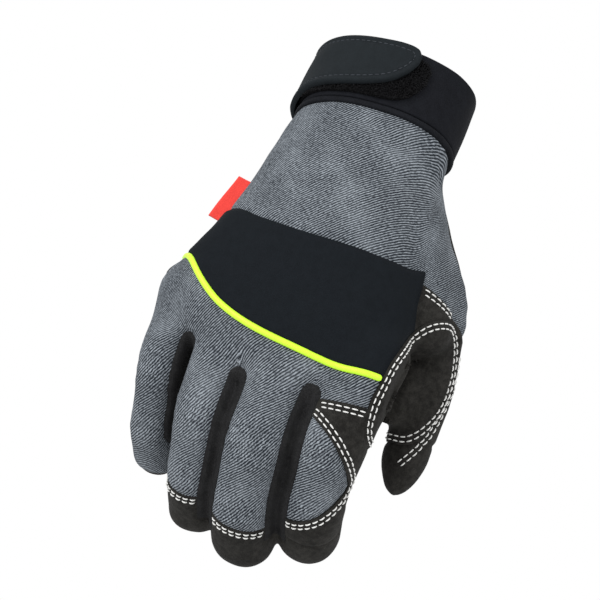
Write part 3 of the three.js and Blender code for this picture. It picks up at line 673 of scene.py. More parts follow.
def cut(sheet, level):
    """The parts of a surface where level is below and above zero."""
    level = np.where(np.abs(level) < 0.07, 0.0, level)
    sign = np.sign(level)[sheet.tris]
    low, high = (sign < 0).any(1), (sign > 0).any(1)
    below, above = sheet.tris[low & ~high], sheet.tris[~low]
    points, values, made = [], [], {}
    first = len(sheet.points)
    new_low, new_high = [], []

    def crossing(i, j):
        key = (i, j) if i < j else (j, i)
        if key not in made:
            t = level[key[0]] / (level[key[0]] - level[key[1]])
            points.append(sheet.points[key[0]] * (1 - t) + sheet.points[key[1]] * t)
            values.append(sheet.values[key[0]] * (1 - t) + sheet.values[key[1]] * t)
            made[key] = first + len(points) - 1
        return made[key]

    for tri in sheet.tris[low & high]:
        under, over = [], []
        for k in range(3):
            i, j = int(tri[k]), int(tri[(k + 1) % 3])
            if level[i] <= 0:
                under.append(i)
            if level[i] >= 0:
                over.append(i)
            if level[i] * level[j] < 0:
                middle = crossing(i, j)
                under.append(middle)
                over.append(middle)
        for ring, store in ((under, new_low), (over, new_high)):
            for k in range(1, len(ring) - 1):
                store.append((ring[0], ring[k], ring[k + 1]))
    if points:
        sheet = Sheet(np.vstack([sheet.points, points]), sheet.tris,
                      np.vstack([sheet.values, values]))
    below = np.vstack([below, np.array(new_low, int).reshape(-1, 3)])
    above = np.vstack([above, np.array(new_high, int).reshape(-1, 3)])
    return sheet.packed(below), sheet.packed(above)


def rim_loops(tris):
    """The open edges of a surface, as chains of point numbers, longest first."""
    ends = np.vstack([tris[:, [0, 1]], tris[:, [1, 2]], tris[:, [2, 0]]])
    back = {(int(b), int(a)) for a, b in ends}
    follow = {}
    for a, b in ends:
        if (int(a), int(b)) not in back:
            follow.setdefault(int(a), []).append(int(b))
    chains = []
    while follow:
        start = next(iter(follow))
        chain = [start]
        while chain[-1] in follow:
            nexts = follow[chain[-1]]
            step = nexts.pop()
            if not nexts:
                del follow[chain[-1]]
            chain.append(step)
            if step == start:
                break
        chains.append(chain)
    return sorted(chains, key=len, reverse=True)


def parts_of(sheet):
    """The connected parts of a surface, largest first."""
    parent = np.arange(len(sheet.points))
    pairs = links(sheet.tris)
    for _ in range(400):
        low = np.minimum(parent[pairs[:, 0]], parent[pairs[:, 1]])
        before = parent.copy()
        np.minimum.at(parent, pairs[:, 0], low)
        np.minimum.at(parent, pairs[:, 1], low)
        parent = parent[parent]
        if (before == parent).all():
            break
    label = parent[sheet.tris[:, 0]]
    names, counts = np.unique(label, return_counts=True)
    return [sheet.packed(sheet.tris[label == names[i]]) for i in np.argsort(-counts)]


def joined(sheets):
    """Surfaces that share points along a cut, welded into one."""
    points = np.vstack([s.points for s in sheets])
    values = np.vstack([s.values for s in sheets])
    first = np.cumsum([0] + [len(s.points) for s in sheets[:-1]])
    tris = np.vstack([s.tris + f for s, f in zip(sheets, first)])
    _, pick, back = np.unique(points.round(6), axis=0, return_index=True, return_inverse=True)
    tris = back.reshape(-1)[tris]
    whole = ((tris[:, 0] != tris[:, 1]) & (tris[:, 1] != tris[:, 2])
             & (tris[:, 2] != tris[:, 0]))
    return Sheet(points[pick], tris[whole], values[pick])


def key_set(sheet):
    """The points of a surface, rounded so that two surfaces can be compared."""
    return {tuple(p) for p in sheet.points.round(6)}


def place_of(points):
    """Places across the hand and down it, as shares of its width and length."""
    return points[:, 0] / size("hand_width"), -points[:, 2] / size("hand_length")


def below_curve(points, rows):
    """Distance in millimetres past a curve across the hand, positive towards the wrist."""
    across, down = place_of(points)
    length, step = size("hand_length"), 0.01
    curve = read_rows(rows, across, "down", "across")
    slope = (read_rows(rows, across + step, "down", "across") - curve) * length / (
        step * size("hand_width"))
    return (curve - down) * length / np.sqrt(1 + slope ** 2)


def beyond_seam(points):
    """Distance in millimetres past the seam beside the thumb, positive on the thumb side."""
    across, down = place_of(points)
    return (across - read_rows(THUMB_SIDE_SEAM, down, "across")) * size("hand_width")


def past_end(at, name, end):
    """Distance past an edge across a finger; the one across the index finger slopes."""
    slope = INDEX_EDGE_SLOPE if (name, end) == ("index", BACK_ENDS["index"]) else 0
    return (at["share"] - end) * at["length"] + slope * at["side"]


def finger_block(points, name, first, last):
    """Distance outside the back of a digit between two shares of its length."""
    at = finger_place(work["lines"][name], points)
    return np.maximum.reduce([
        np.abs(at["side"]) - 1.03 * at["half"] - 0.5, at["palm"] - FINGER_SEAM * at["half"],
        -at["palm"] - 2 * at["half"], -past_end(at, name, first), past_end(at, name, last)])


def strip_level(points, strip):
    """Distance outside a strip that runs along the hollow between two fingers."""
    a, b = (work["lines"][n] for n in strip["sides"])
    share = np.linspace(strip["first"], strip["last"], 90)
    pa, ta, _, ha = on_spine(a, share)
    pb, tb, _, hb = on_spine(b, share)
    facing = unit(pb - pa)
    middle = (pa + facing * ha[:, None] + pb - facing * hb[:, None]) / 2
    t = unit(ta + tb)
    across = unit(facing - t * (facing * t).sum(1)[:, None])
    palm = np.cross(across, t)
    best, pick = np.full(len(points), 1e18), np.zeros(len(points), int)
    for i in range(len(share)):
        offset = points - middle[i]
        d = (offset @ t[i]) ** 2 + 0.05 * (offset ** 2).sum(1)
        closer = d < best
        best[closer], pick[closer] = d[closer], i
    offset = points - middle[pick]
    side = (offset * across[pick]).sum(1)
    deep = (offset * palm[pick]).sum(1)
    run = (offset * t[pick]).sum(1)
    half = size("strip_width") / 2
    begun = (share[pick] - share[0]) * a["length"]
    start = np.minimum(np.where(pick == 0, run, begun) - half, 0)
    ended = np.where(pick == len(share) - 1, run, -1.0)
    return np.maximum.reduce([
        np.sqrt(side ** 2 + start ** 2) - half, deep - 0.55 * ha[pick], -deep - 2.2 * ha[pick],
        ended, np.where(begun > 3, np.abs(side) - half, -1e3)])


def oval_turn():
    """Directions to the right, up and towards the front of the view, as columns."""
    return np.array(Matrix.Rotation(math.radians(VIEW["turn"]), 3, "Z")
                    @ Matrix.Rotation(math.radians(90 + VIEW["drop"]), 3, "X")
                    @ Matrix.Rotation(math.radians(VIEW["roll"]), 3, "Z"))


def oval_centre():
    return np.array([OVAL["across"] * size("hand_width"), OVAL["y"] * size("hand_depth"),
                     -OVAL["down"] * size("hand_length")])


def oval_place(points):
    """Places to the right, up and towards the front of the oval's centre."""
    return (points - oval_centre()) @ oval_turn()


def oval_level(points):
    """Distance outside the oval, with its outline drawn round."""
    local = oval_place(points)
    outline = np.array(OVAL_OUTLINE) * size("hand_width")
    for _ in range(3):
        doubled = np.empty((len(outline) * 2, 2))
        doubled[::2], doubled[1::2] = outline, (outline + np.roll(outline, -1, 0)) / 2
        outline = doubled * 0.5 + 0.25 * (np.roll(doubled, 1, 0) + np.roll(doubled, -1, 0))
    level = edge_away(local[:, :2], outline)
    inside = np.zeros(len(local), bool)
    x, y = local[:, 0], local[:, 1]
    for (ax, ay), (bx, by) in zip(outline, np.roll(outline, -1, 0)):
        if ay != by:
            inside ^= ((ay > y) != (by > y)) & (x < (bx - ax) * (y - ay) / (by - ay) + ax)
    level = np.where(inside, -level, level)
    axis = oval_place(work["lines"]["thumb"]["points"])
    order = np.argsort(axis[:, 1])
    limit = np.interp(local[:, 1], axis[order, 1], axis[order, 2])
    return np.maximum(level, limit - local[:, 2] - OVAL_BACK * size("hand_depth"))


def beside(flat, line):
    """Distance to the right of a line in a plane, negative on its left."""
    away, hand = np.full(len(flat), 1e9), np.zeros(len(flat))
    for a, b in zip(line, line[1:]):
        run = b - a
        offset = flat - a
        t = np.clip(offset @ run / (run @ run), 0, 1)
        gap = np.linalg.norm(offset - t[:, None] * run, axis=1)
        closer = gap < away
        away[closer] = gap[closer]
        hand[closer] = (run[0] * offset[:, 1] - run[1] * offset[:, 0])[closer]
    return away * np.where(hand > 0, 1, -1)


def web_fold(points, normals):
    """Push towards the front, in millimetres, that folds the web over its hollow."""
    local = oval_place(points)
    fold = np.array(WEB_FOLD) * size("hand_width")
    away = beside(local[:, :2], fold)
    seam = beside(local[:, :2], np.array(THUMB_SEAM) * size("hand_width"))
    facing = smoothstep(normals @ oval_turn()[:, 2], 0.0, 0.5)
    front = facing * smoothstep(local[:, 2], -26, -14)
    ends = smoothstep(local[:, 1], fold[-1, 1] - 6, fold[-1, 1] + 3) * smoothstep(
        -local[:, 1], -fold[0, 1] - 1, -fold[0, 1] + 9)
    hollow = smoothstep(away, -0.4, 2.4) * np.exp(-(np.maximum(away - 2.4, 0) / 7.0) ** 2)
    ridge = np.exp(-((away + 1.2) / 2.6) ** 2)
    return front * ends * (1.1 * ridge - 4.6 * hollow) - 0.9 * facing * np.exp(
        -(seam / 1.1) ** 2)


def cloth_map(points):
    """Flat cloth coordinates in millimetres, across and down, that follow the fingers."""
    flat = np.stack([points[:, 0], points[:, 2]], 1)
    lines = [work["lines"][name] for name in FINGERS]
    places = [finger_place(line, points) for line in lines]
    nearest = np.stack([at["away"] / at["half"] for at in places], 1).argmin(1)
    for k, (line, at) in enumerate(zip(lines, places)):
        root = line["points"][0]
        run = at["share"] * line["length"]
        ratio = np.clip(at["side"] / at["half"], -1, 1)
        u = root[0] + np.arcsin(ratio) * at["half"] + np.where(
            np.abs(ratio) >= 1, np.sign(ratio) * np.maximum(at["palm"], 0), 0)
        v = root[2] - run
        mix = smoothstep(at["share"], 0.1, 0.28) * (nearest == k)
        flat[:, 0] = flat[:, 0] * (1 - mix) + u * mix
        flat[:, 1] = flat[:, 1] * (1 - mix) + v * mix
    side = smoothstep(np.abs(points[:, 0]), 36, 50) * smoothstep(points[:, 2], -140, -122)
    flat[:, 0] += np.sign(points[:, 0]) * side * (points[:, 1] + 14) * 0.8
    return flat


def cover_top():
    """How far below the wrist opening the covers start, tucked under the bound edge."""
    return size("cuff_height") + 0.5 * size("binding_height")


def finish_cover(name, sheet):
    """Pulls the edges of a cover into its seams, gives it its wall and makes it an object."""
    row, points, tris = COVERS[name], sheet.points, sheet.tris
    work.setdefault("rims", {})[name] = Sheet(points, tris, sheet.values)
    loops = rim_loops(tris)
    rim = np.unique(np.concatenate([np.array(c) for c in loops]))
    tree = KDTree(len(rim))
    # The edge tucked under the binding isn't pulled in, so it is put out of reach
    top_z = 0.4 - cover_top()
    for k, i in enumerate(rim):
        tree.insert(points[i] + ((0, 0, 500) if points[i][2] > top_z else (0, 0, 0)), k)
    tree.balance()
    away = np.array([tree.find(p)[2] for p in points])
    normals = vertex_normals(points, tris)
    shape = row["lift"] * smoothstep(away, 0, row["spread"] * 1.6) - row["dip"] * np.exp(
        -(away / row["spread"]) ** 2)
    points = points + normals * shape[:, None]
    sheet = Sheet(points, tris, sheet.values)
    made = new_object(name + "_cover", points, tris.tolist())
    layer = made.data.uv_layers.new(name="cloth")
    corner = np.empty(len(made.data.loops), int)
    made.data.loops.foreach_get("vertex_index", corner)
    layer.data.foreach_set("uv", (sheet.values[corner] * 0.001).ravel())
    solid = made.modifiers.new("Wall", "SOLIDIFY")
    solid.thickness = size("cover_wall") / 1000
    solid.offset = -1
    apply_all(made)
    bpy.ops.object.shade_smooth()
    bpy.ops.object.shade_smooth_by_angle(angle=math.radians(42))
    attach(made, "root")
    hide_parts(*STANDS_FOR.get(name, (name,)))
    declare(made, sheet)
    work.setdefault("sheets", {})[name] = sheet
    return dress(made, row["key"])


def declare(made, sheet):
    """Works out the flat size of a cover but keeps it nowhere; the padded knuckle panel is
    skipped.
    """
    if "knuckle_panel" in made.name:
        return
    a, b, c = (sheet.points[sheet.tris[:, k]] for k in range(3))
    area = np.linalg.norm(np.cross(b - a, c - a), axis=1).sum() / 2e6
    wide, long = (sheet.values.max(0) - sheet.values.min(0)) / 1000
    grow = math.sqrt(max(1.0, FLAT_SLACK * area / (wide * long)))
    grow *= min(1.0, math.sqrt(area / FLAT_LEAST_FILLED / (wide * long * grow ** 2)))


def patch_disc(p):
    """Distance from the round edge of the denim patch on the index finger."""
    index = work["lines"]["index"]
    middle, t, _, half = (v[0] for v in on_spine(index, INDEX_PATCH["along"]))
    middle = middle + index["side"] * INDEX_PATCH["side"] * half
    local = np.stack([(p - middle) @ index["side"], (p - middle) @ t], 1)
    return np.linalg.norm(local, axis=1) - INDEX_PATCH["radius"] * half


def side_panel_end(p):
    """Distance below the lower edge of the denim on the thumb side."""
    end = SIDE_PANEL_END
    slant = end["slant"] * (end["level_at"] - p[:, 0] / size("hand_width")) / end["over"]
    return (-p[:, 2] / size("hand_length") - end["down"] + slant) * size("hand_length")


def side_panel_back(p):
    """Distance past the seam towards the palm, which swings back along the thumb's heel."""
    end = SIDE_PANEL_END
    swing = smoothstep(-p[:, 2] / size("hand_length"), 0.36, 0.6)
    return p[:, 1] - (end["wrist_y"] + (end["thumb_y"] - end["wrist_y"]) * swing) * size(
        "hand_depth")


def cover_pieces():
    """The covers by name, taken out of the whole surface one after another."""
    width, depth, length = size("hand_width"), size("hand_depth"), size("hand_length")
    points, tris = build_skin()
    rest = Sheet(points, tris, cloth_map(points))
    rest = cut(rest, points[:, 2] + cover_top())[0]
    side_y = SIDE_SEAM_Y * depth
    pieces = {}

    def take(name, level_of):
        nonlocal rest
        inside, rest = cut(rest, level_of(rest.points))
        pieces[name], *crumbs = parts_of(inside)
        if crumbs:
            rest = joined([rest, *crumbs])

    for strip in STRIPS:
        take(strip["name"], lambda p, s=strip: strip_level(p, s))
    take("thumb_oval", oval_level)
    take("knuckle_panel", lambda p: np.maximum.reduce([
        below_curve(p, PANEL_TOP), -below_curve(p, PANEL_LOW), beyond_seam(p),
        p[:, 1] - side_y]))
    take("wrist_back", lambda p: np.maximum.reduce([
        -below_curve(p, PANEL_TOP), beyond_seam(p), p[:, 1] - side_y]))
    take("thumb_side_panel", lambda p: np.maximum.reduce([
        side_panel_end(p), THUMB_HALF * width - p[:, 0], side_panel_back(p)]))
    take("thumb_web", lambda p: np.maximum.reduce([
        -p[:, 2] - WEB_LEATHER["low"] * length, THUMB_HALF * width - p[:, 0],
        p[:, 1] - WEB_LEATHER["y"] * depth]))

    take("index_patch", lambda p: np.maximum(patch_disc(p), finger_block(p, "index", 0, 1)))
    take("index_back", lambda p: finger_block(p, "index", BACK_ENDS["index"],
                                              INDEX_LEATHER_END))

    def backs(p):
        end = DENIM_END
        little = np.clip(-(p[:, 0] / width + end["lift_from"]) / end["over"], 0, 1)
        hand = np.maximum.reduce([
            below_curve(p, PANEL_LOW), p[:, 1] - side_y,
            (-p[:, 2] / length - end["down"] + end["lift"] * little) * length])
        return np.minimum.reduce([hand] + [finger_block(p, n, 0, e)
                                           for n, e in BACK_ENDS.items()])

    take("finger_back", backs)
    take("thumb_back", lambda p: finger_block(p, "thumb", THUMB_BACK["first"],
                                              THUMB_BACK["last"]))
    pieces["palm"], *crumbs = parts_of(rest)
    # A scrap that a cut left over goes to the cover around it
    keys = {name: key_set(piece) for name, piece in pieces.items()} if crumbs else {}
    for crumb in crumbs:
        own = key_set(crumb)
        name = max(keys, key=lambda n: len(keys[n] & own))
        pieces[name] = joined([pieces[name], crumb])
    return pieces


def along_rows(rows, share, column):
    return read_rows(rows, share, column, "along")


def on_wrist(angle, down, lift):
    """A point on the outside of the wrist; the angle is in degrees, the rest in millimetres."""
    down = np.asarray(down, float)
    point = hand_point(np.radians(angle), np.maximum(down, 0) / size("hand_length"), lift)
    point[..., 2] = -down
    return point


def wrist_ring(name, profile, ripple, key, node):
    """A closed band around the wrist from an outline of (down, lift) points."""
    around = 180
    angle = -np.arange(around) * 2.0
    down = profile[:, 0][:, None] * np.ones(around)
    wave = np.radians(angle)[None, :]
    soft = ripple * (np.sin(5 * wave + 0.14 * down) + 0.7 * np.sin(11 * wave - 0.2 * down))
    outer = smoothstep(profile[:, 1], -0.6, 0.4)[:, None]
    rings = on_wrist(angle[None, :], down, profile[:, 1][:, None] + soft * outer)
    faces = grid_faces(len(profile) + 1, around)
    count = len(profile) * around
    faces = [tuple(v % count for v in face) for face in faces]
    return finish_piece(new_object(name, rings.reshape(-1, 3), faces), key, node)


def finish_piece(made, key, node=None, angle=50):
    """Turns the faces outwards, shades them, hangs the piece on the root, hides its part and
    gives it its material.
    """
    only(made)
    bpy.ops.object.mode_set(mode="EDIT")
    bpy.ops.mesh.select_all(action="SELECT")
    bpy.ops.mesh.normals_make_consistent(inside=False)
    bpy.ops.object.mode_set(mode="OBJECT")
    bpy.ops.object.shade_smooth()
    bpy.ops.object.shade_smooth_by_angle(angle=math.radians(angle))
    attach(made, "root")
    if node:
        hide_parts(node)
    return dress(made, key)


def rounded(width, height, radius, steps=5):
    """Outline of a rectangle from (0, 0) to (width, height) with round corners."""
    points = []
    for cx, cy, first in ((width - radius, height - radius, 0), (radius, height - radius, 90),
                          (radius, radius, 180), (width - radius, radius, 270)):
        for k in range(steps + 1):
            a = math.radians(first + 90 * k / steps)
            points.append((cx + radius * math.cos(a), cy + radius * math.sin(a)))
    return np.array(points)


def dense(outline, step):
    """The same closed outline with points no further apart than step."""
    made = []
    for a, b in zip(outline, np.roll(outline, -1, 0)):
        count = max(1, int(np.linalg.norm(b - a) / step))
        made += [a + (b - a) * k / count for k in range(count)]
    return np.array(made)


def edge_away(flat, outline):
    """Distance of points in a plane from a closed outline."""
    best = np.full(len(flat), 1e9)
    for a, b in zip(outline, np.roll(outline, -1, 0)):
        run = b - a
        t = np.clip(((flat - a) @ run) / max(run @ run, 1e-9), 0, 1)
        best = np.minimum(best, np.linalg.norm(flat - a - t[:, None] * run, axis=1))
    return best


def wrist_patch(name, node, rows, angles, base, thickness, relief, key, columns=150,
                lines=34):
    """A shaped sheet around the wrist, its outer face lifted by relief(distance to edge)."""
    share = 1 - (1 - np.linspace(0, 1, columns)) ** 1.35
    top = along_rows(rows, share, "top") * size("cuff_height")
    low = along_rows(rows, share, "low") * size("cuff_height")
    angle = angles[0] + (angles[1] - angles[0]) * share
    v = (1 - np.cos(np.linspace(0, math.pi, lines))) / 2
    v = 0.6 * v + 0.4 * np.linspace(0, 1, lines)
    down = top[:, None] + (low - top)[:, None] * v[None, :]
    base = np.broadcast_to(base(share) if callable(base) else base, (columns,))
    middle = on_wrist(angle, 0.5 * size("cuff_height") * np.ones(columns), base)
    run = run_along(middle)
    flat = np.stack([run[:, None] * np.ones(lines), down], -1).reshape(-1, 2)
    outline = np.vstack([np.stack([run, top], 1), np.stack([run, low], 1)[::-1]])
    away = edge_away(flat, outline).reshape(columns, lines)
    edge = np.clip(away / 1.2, 0, 1)
    under = base[:, None] * np.ones(lines)
    lift = under + thickness * (0.35 + 0.65 * np.sqrt(1 - (1 - edge) ** 2)) + relief(away, flat)
    lift = np.maximum(lift, under + 0.25 * thickness)
    outer = on_wrist(angle[:, None] * np.ones(lines), down, lift)
    inner = on_wrist(angle[:, None] * np.ones(lines), down, under)
    verts = np.vstack([outer.reshape(-1, 3), inner.reshape(-1, 3)])
    count = columns * lines
    faces = grid_faces(columns, lines, closed=False)
    faces += [tuple(count + i for i in reversed(face)) for face in faces]
    rim = ([i * lines for i in range(columns)]
           + [(columns - 1) * lines + j for j in range(1, lines)]
           + [i * lines + lines - 1 for i in range(columns - 2, -1, -1)]
           + [j for j in range(lines - 2, 0, -1)])
    for a, b in zip(rim, rim[1:] + rim[:1]):
        faces.append((a, b, count + b, count + a))
    made = new_object(name, verts, faces)
    work[name] = dict(outline=outline, run=run, angle=angle, base=base, thickness=thickness)
    return finish_piece(made, key, node)


def on_patch(name, flat, lift):
    """A point of a wrist sheet from its unrolled place."""
    sheet = work[name]
    angle = np.interp(flat[:, 0], sheet["run"], sheet["angle"])
    return on_wrist(angle, flat[:, 1], lift)


def tube(path, radius, sides=8, ends=True):
    """Vertices and faces of a round cord along a path; radius may vary along it."""
    path = np.asarray(path, float)
    radius = np.broadcast_to(np.asarray(radius, float), (len(path),))
    t = unit(np.gradient(path, axis=0))
    start = np.cross(t[0], (0.3, 0.9, 0.2))
    start /= np.linalg.norm(start)
    ring, rings = start, []
    angles = np.arange(sides) * 2 * math.pi / sides
    for k in range(len(path)):
        ring = ring - t[k] * (ring @ t[k])
        ring /= np.linalg.norm(ring)
        other = np.cross(t[k], ring)
        rings.append(path[k] + radius[k] * (np.cos(angles)[:, None] * ring
                                            + np.sin(angles)[:, None] * other))
    return capped_rings(np.array(rings))


def merged(parts):
    """Vertices and faces of several parts as one."""
    verts, faces, first = [], [], 0
    for v, f in parts:
        verts.append(v)
        faces += [tuple(first + i for i in face) for face in f]
        first += len(v)
    return np.vstack(verts), faces


def surface():
    """The outer faces of all finished covers, for laying cords and stitches on them."""
    if "surface" not in work:
        points, tris, first = [], [], 0
        for sheet in work["sheets"].values():
            points.append(sheet.points)
            tris.append(sheet.tris + first)
            first += len(sheet.points)
        work["surface"] = BVHTree.FromPolygons(
            np.vstack(points).tolist(), np.vstack(tris).tolist())
    return work["surface"]


def laid(points, reach=7.0):
    """Points moved onto the covers, with the outward direction of the skin there."""
    on, out = [], []
    tree = surface()
    for p in points:
        _, normal, _, _ = work["skin"].find_nearest(Vector(p))
        hit, _, _, _ = tree.ray_cast(Vector(p) + normal * reach, -normal, 2 * reach)
        if hit is None:
            hit, _, _, _ = tree.find_nearest(Vector(p))
        on.append(hit)
        out.append(normal)
    return np.array([tuple(p) for p in on]), np.array([tuple(n) for n in out])


def even(points, step):
    """A path resampled at even steps."""
    run = run_along(points)
    count = max(2, int(round(run[-1] / step)) + 1)
    at = np.linspace(0, run[-1], count)
    return np.stack([np.interp(at, run, points[:, k]) for k in range(3)], 1)


def smoothed(points, rounds, closed=False):
    points = points.copy()
    for _ in range(rounds):
        if closed:
            points = 0.5 * points + 0.25 * (np.roll(points, 1, 0) + np.roll(points, -1, 0))
        else:
            points[1:-1] = 0.5 * points[1:-1] + 0.25 * (points[:-2] + points[2:])
    return points


def straight_ends(run):
    """The same path without the ends that turn away around a corner."""
    run = even(run, 0.5)
    for _ in range(2):
        while len(run) > 24:
            a, b = run[2] - run[0], run[10] - run[6]
            if a @ b > 0.86 * np.linalg.norm(a) * np.linalg.norm(b):
                break
            run = run[1:]
        run = run[::-1]
    return run


def sideways(path):
    """Directions along the skin, square to a path on it."""
    normal = np.array([tuple(work["skin"].find_nearest(Vector(p))[1]) for p in path])
    return np.cross(normal, unit(np.gradient(path, axis=0)))


def seam_path(cover, keep, shift):
    """The rim of a cover where keep holds, moved sideways over the surface by shift."""
    sheet = work["rims"][cover]
    paths = []
    for loop in rim_loops(sheet.tris)[:3]:
        points = sheet.points[np.array(loop[:-1])]
        if len(points) < 60:
            continue
        points = smoothed(points, 8, closed=True)
        wanted = keep(points)
        if not wanted.any():
            continue
        if not wanted.all():
            first = int(np.argmin(wanted))
            points, wanted = np.roll(points, -first, 0), np.roll(wanted, -first)
            cuts = np.flatnonzero(np.diff(wanted.astype(int))) + 1
            pieces = [(a, b) for a, b in zip(np.append(0, cuts), np.append(cuts, len(points)))
                      if wanted[a]]
            runs = [straight_ends(points[a:b]) for a, b in pieces if b - a > 8]
        else:
            runs = [np.vstack([points, points[:1]])]
        for run in runs:
            paths.append(run + sideways(run) * shift)
    return paths


def stitches(path):
    """Thread stitches along a path on the covers, as parts of one mesh."""
    pitch, length, width = size("stitch_pitch"), size("stitch_length"), size("thread_width")
    lift = 0.12
    path = smoothed(even(path, 0.6), 6)
    total = run_along(path)[-1]
    path = even(path, total / max(1, round(total / pitch)) / 6)
    on, out = laid(path)
    on, out = smoothed(on, 2), unit(smoothed(out, 2))
    parts = []
    for a in range(0, len(on) - 6, 6):
        span = np.linspace(a, a + 6 * length / pitch, 6)
        share = np.linspace(0, 1, 6)
        low = np.stack([np.interp(span, np.arange(len(on)), on[:, j]) for j in range(3)], 1)
        up = out[min(a + 3, len(out) - 1)]
        rise = lift + width * 0.28 * np.sin(share * math.pi) - width * 0.62 * (
            np.abs(share * 2 - 1) ** 4)
        radius = width / 2 * (1 - 0.45 * np.abs(share * 2 - 1) ** 3)
        parts.append(tube(low + up * rise[:, None], radius, 6))
    return parts


def from_view(rows):
    """Points of the skin under a line drawn in the view of the oval."""
    turn = oval_turn()
    flat = even(np.array([(x, y, 0) for x, y in rows]) * size("hand_width"), 1.0)
    found = []
    for start in oval_centre() + flat @ turn.T + 150 * turn[:, 2]:
        hit, _, _, _ = work["skin"].ray_cast(Vector(start), Vector(-turn[:, 2]))
        if hit is not None:
            found.append(tuple(hit))
    return smoothed(np.array(found), 4)


# Materials

class Wiring:
    """A new material, with short ways to add its nodes and to join them."""

    def __init__(self, name):
        self.material = bpy.data.materials.new(name)
        self.material.use_nodes = True
        self.tree = self.material.node_tree

    def feed(self, socket, value):
        """Joins a socket to the output that feeds it, or sets its value."""
        if isinstance(value, bpy.types.NodeSocket):
            self.tree.links.new(value, socket)
        elif value is not None:
            socket.default_value = value

    def add(self, kind, **values):
        node = self.tree.nodes.new("ShaderNode" + kind)
        for key, value in values.items():
            if key in node.inputs:
                self.feed(node.inputs[key], value)
            else:
                setattr(node, key, value)
        return node

    def maths(self, operation, a, b=None, clamp=False):
        node = self.add("Math", operation=operation, use_clamp=clamp)
        for slot, value in enumerate((a, b)):
            self.feed(node.inputs[slot], value)
        return node.outputs[0]

    def noise(self, where, scale, detail, roughness=0.5):
        return self.add("TexNoise", Vector=where, Scale=scale, Detail=detail,
                        Roughness=roughness).outputs["Fac"]

    def ramp(self, source, low, high):
        node = self.add("MapRange", interpolation_type="SMOOTHSTEP", Value=source)
        node.inputs["From Min"].default_value = low
        node.inputs["From Max"].default_value = high
        return node.outputs[0]

    def mix(self, factor, a, b):
        node = self.add("Mix", data_type="RGBA")
        for slot, value in ((0, factor), (6, a), (7, b)):
            self.feed(node.inputs[slot], value)
        return node.outputs[2]

    def bump(self, height, distance, strength, normal=None):
        return self.add("Bump", Height=height, Distance=distance, Strength=strength,
                        Normal=normal).outputs[0]

    def done(self, base, normal, roughness, specular=0.5, sheen=0.0):
        shader = self.tree.nodes["Principled BSDF"]
        for key, value in (("Base Color", base), ("Normal", normal), ("Roughness", roughness),
                           ("Specular IOR Level", specular), ("Sheen Weight", sheen)):
            self.feed(shader.inputs[key], value)
        return self.material


def shades(tone, dark, pale):
    """A colour made darker and paler by these factors."""
    return [tuple(c * share for c in tint(tone)[:3]) + (1.0,) for share in (dark, pale)]


def denim():
    """Twill of a dark and a light yarn, on the flat cloth coordinates of each cover."""
    m = Wiring("denim")
    flat = m.add("UVMap", uv_map="cloth").outputs[0]
    slanted = m.add("Mapping", Vector=flat,
                    Rotation=(0, 0, math.radians(TWILL["slant"]))).outputs[0]
    split = m.add("SeparateXYZ", Vector=slanted)
    sway = m.maths("MULTIPLY", m.maths("SUBTRACT", m.noise(flat, 160.0, 1.0), 0.5), 0.0006)
    across = m.maths("ADD", split.outputs["Y"], sway)
    wave = m.maths("SINE", m.maths("MULTIPLY", across, 2 * math.pi / TWILL["pitch"]))
    streak = m.noise(m.add("Mapping", Vector=slanted, Scale=(800, 2300, 1)).outputs[0],
                     1.0, 2.0, 0.6)
    weft = m.noise(m.add("Mapping", Vector=flat, Scale=(900, 2600, 1)).outputs[0],
                   1.0, 2.0, 0.7)
    lines = m.maths("ADD", m.maths("MULTIPLY", wave, 0.32), m.maths("MULTIPLY", streak, 1.5))
    lines = m.maths("ADD", lines, m.maths("MULTIPLY", weft, 0.5))
    worn = m.maths("MULTIPLY", m.ramp(m.noise(flat, 55.0, 3.0), 0.3, 0.75), 0.22)
    light = m.maths("ADD", m.ramp(lines, 0.72, 1.62), m.maths("SUBTRACT", worn, 0.11),
                    clamp=True)
    return m.done(m.mix(light, tint("denim_dark"), tint("denim_light")),
                  m.bump(lines, 0.00022, 0.8), 0.92, 0.1)


def suede():
    """Short dark nap with pale fibres."""
    m = Wiring("leather")
    where = m.add("TexCoord").outputs["Object"]
    fine, nap = m.noise(where, 2600.0, 3.0, 0.65), m.noise(where, 420.0, 4.0, 0.6)
    cloud = m.maths("SUBTRACT", m.noise(where, 60.0, 3.0), 0.5)
    tone = m.maths("ADD", m.maths("MULTIPLY", nap, 0.5), m.maths("MULTIPLY", fine, 0.5))
    tone = m.maths("ADD", tone, m.maths("MULTIPLY", cloud, 0.35))
    return m.done(m.mix(m.ramp(tone, 0.35, 0.68), *shades("leather", 0.55, 1.75)),
                  m.bump(nap, 0.0005, 0.4, m.bump(fine, 0.0002, 0.5)), 0.88, 0.1, 0.015)


def cloth(name, tone, pitch, depth, roughness, contrast, gloss):
    """Plain fine cloth, its weave on the object's own coordinates."""
    m = Wiring(name)
    where = m.add("TexCoord").outputs["Object"]
    weave = m.add("TexVoronoi", Vector=where, Scale=1 / pitch).outputs["Distance"]
    blend = m.maths("ADD", m.maths("MULTIPLY", weave, 0.6),
                    m.maths("MULTIPLY", m.noise(where, 300.0, 4.0), 0.6))
    return m.done(m.mix(m.ramp(blend, 0.3, 0.85), *shades(tone, 1 - contrast, 1 + contrast)),
                  m.bump(weave, depth, 0.6), roughness, gloss)


def thread():
    """Twisted white thread."""
    m = Wiring("thread")
    twist = m.noise(m.add("TexCoord").outputs["Object"], 3500.0, 2.0)
    return m.done(m.mix(m.ramp(twist, 0.35, 0.65), *shades("thread", 0.72, 1.0)),
                  m.bump(twist, 0.0001, 0.6), 0.7)


def material(key):
    store = work.setdefault("materials", {})
    if key not in store:
        maker = {"denim": denim, "leather": suede, "thread": thread}.get(key)
        store[key] = maker() if maker else cloth(key, **CLOTHS[key])
    return store[key]


